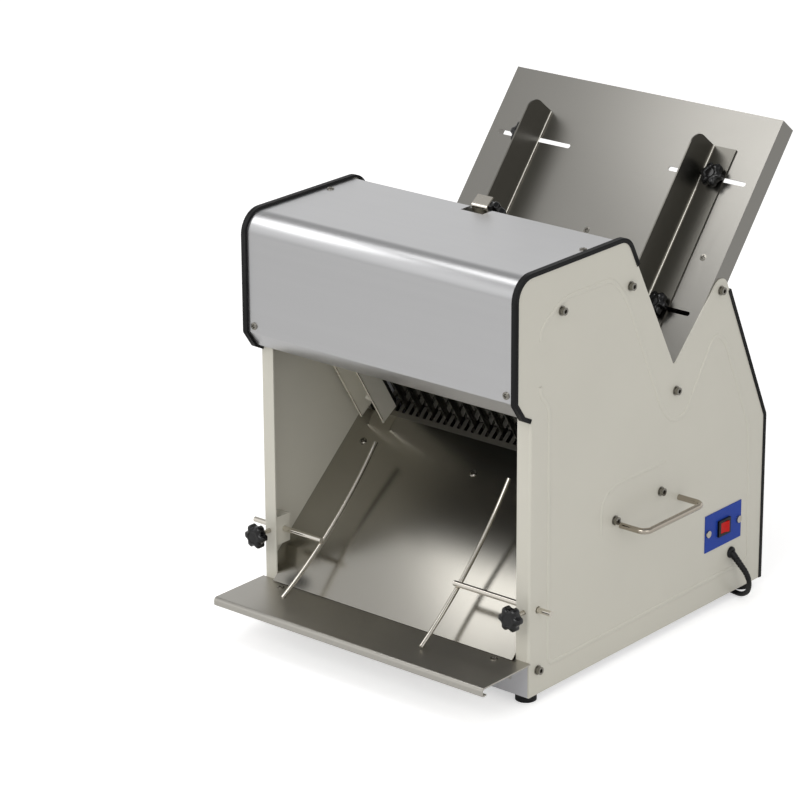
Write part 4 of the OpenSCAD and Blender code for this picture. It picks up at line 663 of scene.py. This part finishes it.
SLEEVE_END, PLUG_END, PIN_X = 34.0, 66.0, 6.5
PLUG_BODY = [(6.2, 34.4), (8.6, 35.6), (10.4, 37.8), (11.4, 41.0), (11.7, 46.0), (11.2, 50.0), (11.2, 55.0),
             (11.9, 59.0), (12.0, 63.0), (11.6, 65.2), (10.8, PLUG_END), (0.0, PLUG_END)]
PLUG_PIN = [(0, 0), (2.0, 0), (2.0, 8.0), (1.85, 8.3), (1.85, 16.6), (1.5, 17.6), (0.8, 18.0), (0, 18.0)]
BAND_LOW, BAND_HIGH, BAND_R = (28.0, 1.4), (50.8, 16.6), 5.0
OUTLET_PLACE = (WALL_X, 442.4, 60.0)
OUTLET_COLLAR = [(0, -6.0), (6.0, -6.0), (6.0, 0.0), (8.0, 0.0), (8.0, 1.6), (7.6, 2.8), (6.6, 3.6),
                 (5.6, 4.0), (0, 4.0)]
OUTLET_RUN, OUTLET_BACK = 44.0, 21.0


def coil_path():
    """Two flat layers of turns: r = R + p |t - T/2| round the middle, at an angle of t turns, with the
    height rising by one pitch over half a turn in the middle."""
    t = np.linspace(0, COIL_TURNS, int(COIL_TURNS * 64) + 1)
    r = COIL_R + COIL_PITCH * np.abs(t - COIL_HALF)
    z = COIL_LOW + COIL_PITCH * np.clip(2 * (t - COIL_HALF) + 0.5, 0, 1)
    return np.stack([COIL_MID[0] + r * np.cos(TAU * t), COIL_MID[1] + r * np.sin(TAU * t), z], 1)


def make_plug():
    """Round moulded plug: a ribbed sleeve whose radius swells from the cord to the body with cut rings,
    a body with rounded shoulders and a waist, a flat face and two domed pins."""
    u = np.linspace(0, 1, 41)
    sleeve = 3.62 + 0.38 * u - 0.45 * (np.sin(u * TAU * 7) > 0.35) * (u > 0.08)
    profile = [(0.0, -0.5), (3.55, -0.5)] + list(zip(sleeve, SLEEVE_END * u)) + PLUG_BODY
    shells = [lathe(PLUG_FACE * MM, PLUG_WAY, np.array(profile) * MM, 40)]
    body = piece("plug_body", shells, switch_plastic, "machine", ["plug"])
    pins = [lathe((PLUG_FACE + [x, -PLUG_END, 0]) * MM, PLUG_WAY, np.array(PLUG_PIN) * MM, 20)
            for x in (-PIN_X, PIN_X)]
    return [body, piece("plug_pins", pins, bright_plate, "machine")]


def make_cord_tie():
    """Flat band wound once round the bundle: a box loop with rounded corners in the plane across the turns,
    with a section whose half width 3 |cos v|^0.4 and half height 0.45 |sin v|^0.7 make a rounded box."""
    left, low = BAND_LOW[0] + COIL_MID[1] + BAND_R, BAND_LOW[1] + BAND_R
    right, high = BAND_HIGH[0] + COIL_MID[1] - BAND_R, BAND_HIGH[1] - BAND_R
    loop = []
    for quarter, centre in enumerate([(right, high), (left, high), (left, low), (right, low)]):
        a = np.linspace(quarter, quarter + 1, 9) * TAU / 4
        loop.append(np.array(centre) + BAND_R * np.stack([np.cos(a), np.sin(a)], 1))
    loop = np.concatenate(loop)
    out = np.roll(loop, -1, 0) - np.roll(loop, 1, 0)
    out = np.stack([out[:, 1], -out[:, 0]], 1) / np.linalg.norm(out, axis=1, keepdims=True)
    v = np.linspace(0, TAU, 16, endpoint=False)
    side = 3.0 * np.sign(np.cos(v)) * np.abs(np.cos(v)) ** 0.4
    rise = 0.5 + 0.45 * np.sign(np.sin(v)) * np.abs(np.sin(v)) ** 0.7
    flat = loop[:, None, :] + rise[None, :, None] * out[:, None, :]
    across = np.broadcast_to(COIL_MID[0] + side[None, :, None], flat.shape[:2] + (1,))
    points = np.concatenate([across, flat], -1)
    return piece("cord_band", [surface(points * MM, True, True)], trim_rubber, "machine",
                 ["cord_tie"])


def make_outlet():
    """Cord outlet: a turned collar on the panel, and along the first 44 mm of the cord a sleeve whose radius
    5.1 - 1.3 s / 44 tapers with the length s and is cut 0.4 deep by rings 4.4 apart."""
    collar = lathe(place([OUTLET_PLACE])[0], (1, 0, 0), np.array(OUTLET_COLLAR) * MM, 36)
    first_step = CORD_ROUTE[1] - CORD_ROUTE[0]
    start = CORD_ROUTE[0] - OUTLET_BACK * first_step / np.linalg.norm(first_step)
    root = np.array([WALL_X + 1.5, start[1], start[2] + 1.0])
    path = smooth_route(np.concatenate([[root], [(start + CORD_ROUTE[0]) / 2], CORD_ROUTE[:5]]), 0.5)
    run = np.linspace(0, path_length(path), len(path))
    keep = run < OUTLET_RUN
    run, path = run[keep], path[keep]
    cut = (np.sin(run * TAU / 4.4) > 0.3) & (run > 9) & (run < 40)
    radius = 5.1 - 1.3 * (run / OUTLET_RUN) - 0.4 * cut
    sleeve = sweep(path * MM, radius * MM, 24)
    return piece("cord_outlet", [collar, sleeve], switch_plastic, "machine", ["cable_gland"])


cord_line = even(np.concatenate([smooth_route(CORD_ROUTE[:-1], 2.0), coil_path(), [PLUG_FACE]]), 2.5) * MM
plug_pieces = make_plug()
cord_band = make_cord_tie()
cord_outlet = make_outlet()
cord = piece("mains_cord", [sweep(cord_line, CORD_D / 2 * MM, 16)], cord_rubber, "machine",
             ["power_cord", "cord_coil"])


# Knobs, in millimetres: radii of head and stud, rows of radius and height over the foot of the head, then for
# each kind the stand of its hub, the hub's height and the reach of the stud inwards
KNOB_R, STUD_R = 17.0, 2.98
KNOB_HEAD = [(7.0, 0.0), (14.6, 0.0), (15.9, 0.25), (16.7, 0.9), (17.0, 2.0), (17.0, 7.4), (16.8, 8.7),
             (16.2, 9.9), (15.2, 10.9), (13.6, 11.9), (11.2, 12.7), (8.2, 13.0), (7.8, 12.8), (7.6, 12.2),
             (7.3, 12.1), (5.0, 12.3), (0.0, 12.4)]
THREAD_PITCH = 1.25
CLAMP_KNOB, FEED_KNOB, HOLD_KNOB = (13.0, 8.0, 13.9), (0.3, 4.0, 9.0), (0.3, 13.0, 1.4)


def star(v):
    """Share of the full radius round a six-lobed knob: a circle of radius 17 with six scallops of radius
    6.5 cut 3.5 deep, made softer by a mean over a few degrees."""
    reach, cut, away = KNOB_R, 6.5, 20.0
    total = np.zeros_like(v)
    shifts = np.linspace(-0.07, 0.07, 9)
    for shift in shifts:
        turn = np.mod(v + shift + TAU / 12, TAU / 6) - TAU / 12
        inside = cut ** 2 - (away * np.sin(turn)) ** 2
        scallop = away * np.cos(turn) - np.sqrt(np.maximum(inside, 0))
        total += np.where(inside > 0, np.minimum(scallop, reach), reach)
    return total / (len(shifts) * reach)


def knob_shape(radius, v):
    """The star at the rim, fading to a plain circle at a third of the radius."""
    weight = np.clip((radius / (KNOB_R * MM) - 0.36) / 0.40, 0, 1)
    return 1 - weight * weight * (3 - 2 * weight) * (1 - star(v))


def stud(centre, axis, low, high):
    """Threaded rod: radius 2.98 - 0.1 (1 - cos(2 pi s / 1.25)) at the length s."""
    along = np.arange(low, high, THREAD_PITCH / 4)
    reach = STUD_R - 0.1 * (1 - np.cos(TAU * along / THREAD_PITCH))
    profile = [(0, low)] + list(zip(reach, along)) + [(0, high)]
    return lathe(centre, axis, np.array(profile) * MM, 18)


def make_knob(name, centre, axis, stand, hub, inner):
    """Star knob: a hub with a collar, a head with rounded rims, a crown and a sunk cap, on a threaded
    stud."""
    foot = stand + hub
    profile = [(0, stand), (5.4, stand), (6.0, stand + 0.6), (6.0, foot - 0.4)]
    profile += [(r, foot + h) for r, h in KNOB_HEAD]
    head = lathe(centre, axis, np.array(profile) * MM, 96, knob_shape)
    thread = stud(centre, axis, -inner, stand + 0.5)
    piece(name + "_head", [head], knob_plastic, name, [name], sharp=50)
    piece(name + "_stud", [thread], zinc_plate, name)


for side, sign in SIDES:
    make_knob(side + "_clamp_knob", place([[sign * 216.0, 0.0, 117.0]])[0], (0, -1, 0), *CLAMP_KNOB)
    make_knob(side + "_upper_knob", (sign * 0.160, 0.243004, 0.580652), FEED_NORMAL, *FEED_KNOB)
    make_knob(side + "_lower_knob", (sign * 0.160, 0.122804, 0.432217), FEED_NORMAL, *FEED_KNOB)
make_knob("hold_down_knob", (0.0, -0.0409824, 0.557489), HOLD_NORMAL, *HOLD_KNOB)

# Screws, in millimetres: head and shank, rings over the cross, places and ways of the single sheet screws on
# the hood's front, its top and the tray, and the two rows across the chute and the feed plate
HEAD_R, SHANK_R = 5.0, 2.0
CROSS_RINGS = [0, 0.35, 0.7, 1.0, 1.3, 1.65, 2.0, 2.35, 2.7, 3.0, 3.3, 3.7]
DOME_RINGS = CROSS_RINGS + [4.0, 4.4, 4.7, 4.9, HEAD_R]
FLUSH_RINGS = CROSS_RINGS + [4.2, 4.7, 4.95]
SHANK = [(SHANK_R, -8.2), (0, -9.0)]
SHEET_SCREWS = [(209, -29, 414.5, (0, -1, 0)), (209, 124, 565, (0, 0, 1)), (182, -17, 49, (0, 0, 1))]
ROW_X = (-192, 0, 192)
CHUTE_ROW, FEED_ROW = 230.4, 156.0
CROSS_DEEP, CROSS_HALF, CROSS_LONG, CROSS_WALL = 1.4, 0.7, 3.0, 0.3


def recess(profile, v):
    """Sunk cross in the top of a screw head: two arms 1.4 mm wide and 6 mm long, 1.4 mm deep, with sloped
    walls 0.3 mm wide."""
    x, y = (np.abs(profile[:, :1] * f(v)) / MM for f in (np.cos, np.sin))
    arms = [np.clip((CROSS_HALF - a) / CROSS_WALL + 1, 0, 1) * np.clip((CROSS_LONG - b) / CROSS_WALL, 0, 1)
            for a, b in ((x, y), (y, x))]
    top = (profile[:, 1:] > 0.05 * MM) & (profile[:, :1] < 3.6 * MM)
    return -CROSS_DEEP * MM * np.maximum(*arms) * top


def screw(centre, axis, profile):
    """One screw: its profile turned round an axis, with the cross sunk in its top."""
    return lathe(centre, axis, np.array(profile) * MM, 48, lift=recess)


def make_screws():
    """Sheet screws with low domed heads, 2.2 - (r / 5)^2.6 high at the radius r, on plain shanks."""
    dome = [(r, 2.2 - 1.0 * (r / HEAD_R) ** 2.6) for r in DOME_RINGS]
    dome += [(HEAD_R, 0.0), (SHANK_R, 0.0), *SHANK]
    shells = [screw(place([[sign * x, y, z]])[0], axis, dome)
              for _, sign in SIDES for x, y, z, axis in SHEET_SCREWS]
    return shells + [screw(up_slope(x, [CHUTE_ROW], CHUTE_FOOT, CHUTE_ALONG)[0], CHUTE_NORMAL, dome)
                     for x in ROW_X]


def make_flush_screws():
    """Countersunk screws whose tops, 0.25 - 0.17 (r / 5)^2 high at the radius r, lie almost level with the
    feed plate."""
    flat = [(r, 0.25 - 0.17 * (r / HEAD_R) ** 2) for r in FLUSH_RINGS]
    flat += [(HEAD_R, 0.0), (SHANK_R, -2.0), *SHANK]
    return [screw(up_slope(x, [FEED_ROW], FEED_FOOT, FEED_ALONG)[0], FEED_NORMAL, flat) for x in ROW_X]


piece("cross_screws", make_screws() + make_flush_screws(), screw_plate, "machine",
      ["sheet_screws"], sharp=30)

# Blades: ends of each along its slope, length of a tooth, place of the first, pitch and number of both sets
BLADE_ENDS = (-74.0, 254.41)
TOOTH = 7.0
BLADE_FIRST_X, BLADE_PITCH, BLADE_COUNT = -180.0, 12.0, 31


def blade(x, near, far):
    """Serrated blade: a flat strip whose ground edge lies at far - 0.9 |sin(pi s / 7)|^0.6 at the length s
    along it."""
    s = np.arange(*BLADE_ENDS, TOOTH / 8)
    teeth = far - 0.9 * np.abs(np.sin(math.pi * s / TOOTH)) ** 0.6
    section = [(-0.3, near), (0.3, near), (0.3, far - 2.4), (0.0, teeth), (-0.3, far - 2.4)]
    points = np.stack([up_slope(x + side, s, BLADE_FOOT, BLADE_ALONG, back, BLADE_BACK)
                       for side, back in section], 1)
    ends = [np.repeat(points[k].mean(0)[None, None], len(section), 1) for k in (0, -1)]
    return surface(np.concatenate([ends[0], points, ends[1]]), loop_v=True)


for frame_body, first, near, far in (("blade_frame_a", 0, -10.5, -0.5), ("blade_frame_b", 1, 0.5, 10.5)):
    strips = [blade(BLADE_FIRST_X + BLADE_PITCH * k, near, far) for k in range(first, BLADE_COUNT, 2)]
    piece(frame_body + "_blades", strips, blade_steel, frame_body,
          ["blades_" + frame_body[-1]], sharp=20)


# Pressed and folded details
def closed(corners, radii):
    """Closed outline with each corner P turned into the curve (1-t)^2 A + 2t(1-t) P + t^2 B."""
    corners = np.asarray(corners, float)
    ring = np.concatenate([corners[-1:], corners, corners[:1]])
    return rounded(ring, radii, 10)[1:-1]


def pressed_bead(x, line, width, height):
    """Low ridge on a side panel: the half ellipse width / 2 cos v, height sin v at each point of the line."""
    points = even(np.stack([np.full(len(line), 0.0), *np.asarray(line, float).T], 1), 4.0)
    along = directions(points)
    across = np.cross(along, [1.0, 0, 0])
    v = np.linspace(0, math.pi, 12)
    out = math.copysign(1.0, x)
    rows = points[:, None] + width / 2 * np.cos(v)[None, :, None] * across[:, None]
    rows[..., 0] = x + out * (height * np.sin(v)[None, :] - 0.05)
    return surface(place(rows))


# Outlines in depth and height with the reach of each corner's round, then width and height of the ridge
PRESSED = [
    (closed([(19, 492), (66, 520), (165, 519), (196, 486), (278, 312), (300, 290), (330, 292), (392, 386),
             (416, 372), (478, 232), (484, 36), (40, 34), (38, 384), (19, 404)],
            [16, 16, 14, 18, 16, 12, 14, 14, 14, 26, 12, 12, 12, 12]), 6.5, 1.1),
    (rounded([(150, 176), (150, 224), (176, 238), (286, 238)], [18, 16]), 5.0, 0.6),
]
for side, sign in SIDES:
    beads = [pressed_bead(sign * WALL_X, *row) for row in PRESSED]
    piece(side + "_panel_press", beads, cream_enamel, "machine", sharp=60)

# Hems and bends: x of each, distance off the slope and radius, and the two ends along the slope
HEMS = [(208.9, -44.8, 1.5), (169.1, -44.8, 1.5)]
HEM_ENDS = (3.0, 200.0)
BENDS = [(136.0, 1.6, 1.2), (138.5, 2.9, 1.3)]
BEND_ENDS = (11.6, 310.4)


def fold_rods(sign, rows, ends, foot, along, normal):
    """Straight round rods up a slope, each at one x and one distance off it."""
    up = np.linspace(*ends, 40)
    paths = [up_slope(sign * x, up, foot, along, off, normal) for x, off, _ in rows]
    return [sweep(path, radius * MM, 14, first_side=(1.0, 0.0, 0.0))
            for path, (_, _, radius) in zip(paths, rows)]


# Round hems along the front edges of the upright channels beside the blades, in a brighter plate than the
# channels: painted highlight lines
hems = [rod for _, sign in SIDES
        for rod in fold_rods(sign, HEMS, HEM_ENDS, BLADE_FOOT, BLADE_ALONG, BLADE_BACK)]
piece("channel_hems", hems, hem_highlight_plate, "machine")

# Round bends along the fold of each infeed guide, one on each side of its fence, in a brighter plate than the
# dark guide: painted highlight lines
for side, sign in SIDES:
    bends = fold_rods(sign, BENDS, BEND_ENDS, FEED_FOOT, FEED_ALONG, FEED_NORMAL[1:])
    piece(side + "_fence_bends", bends, hem_highlight_plate, side + "_infeed_guide")
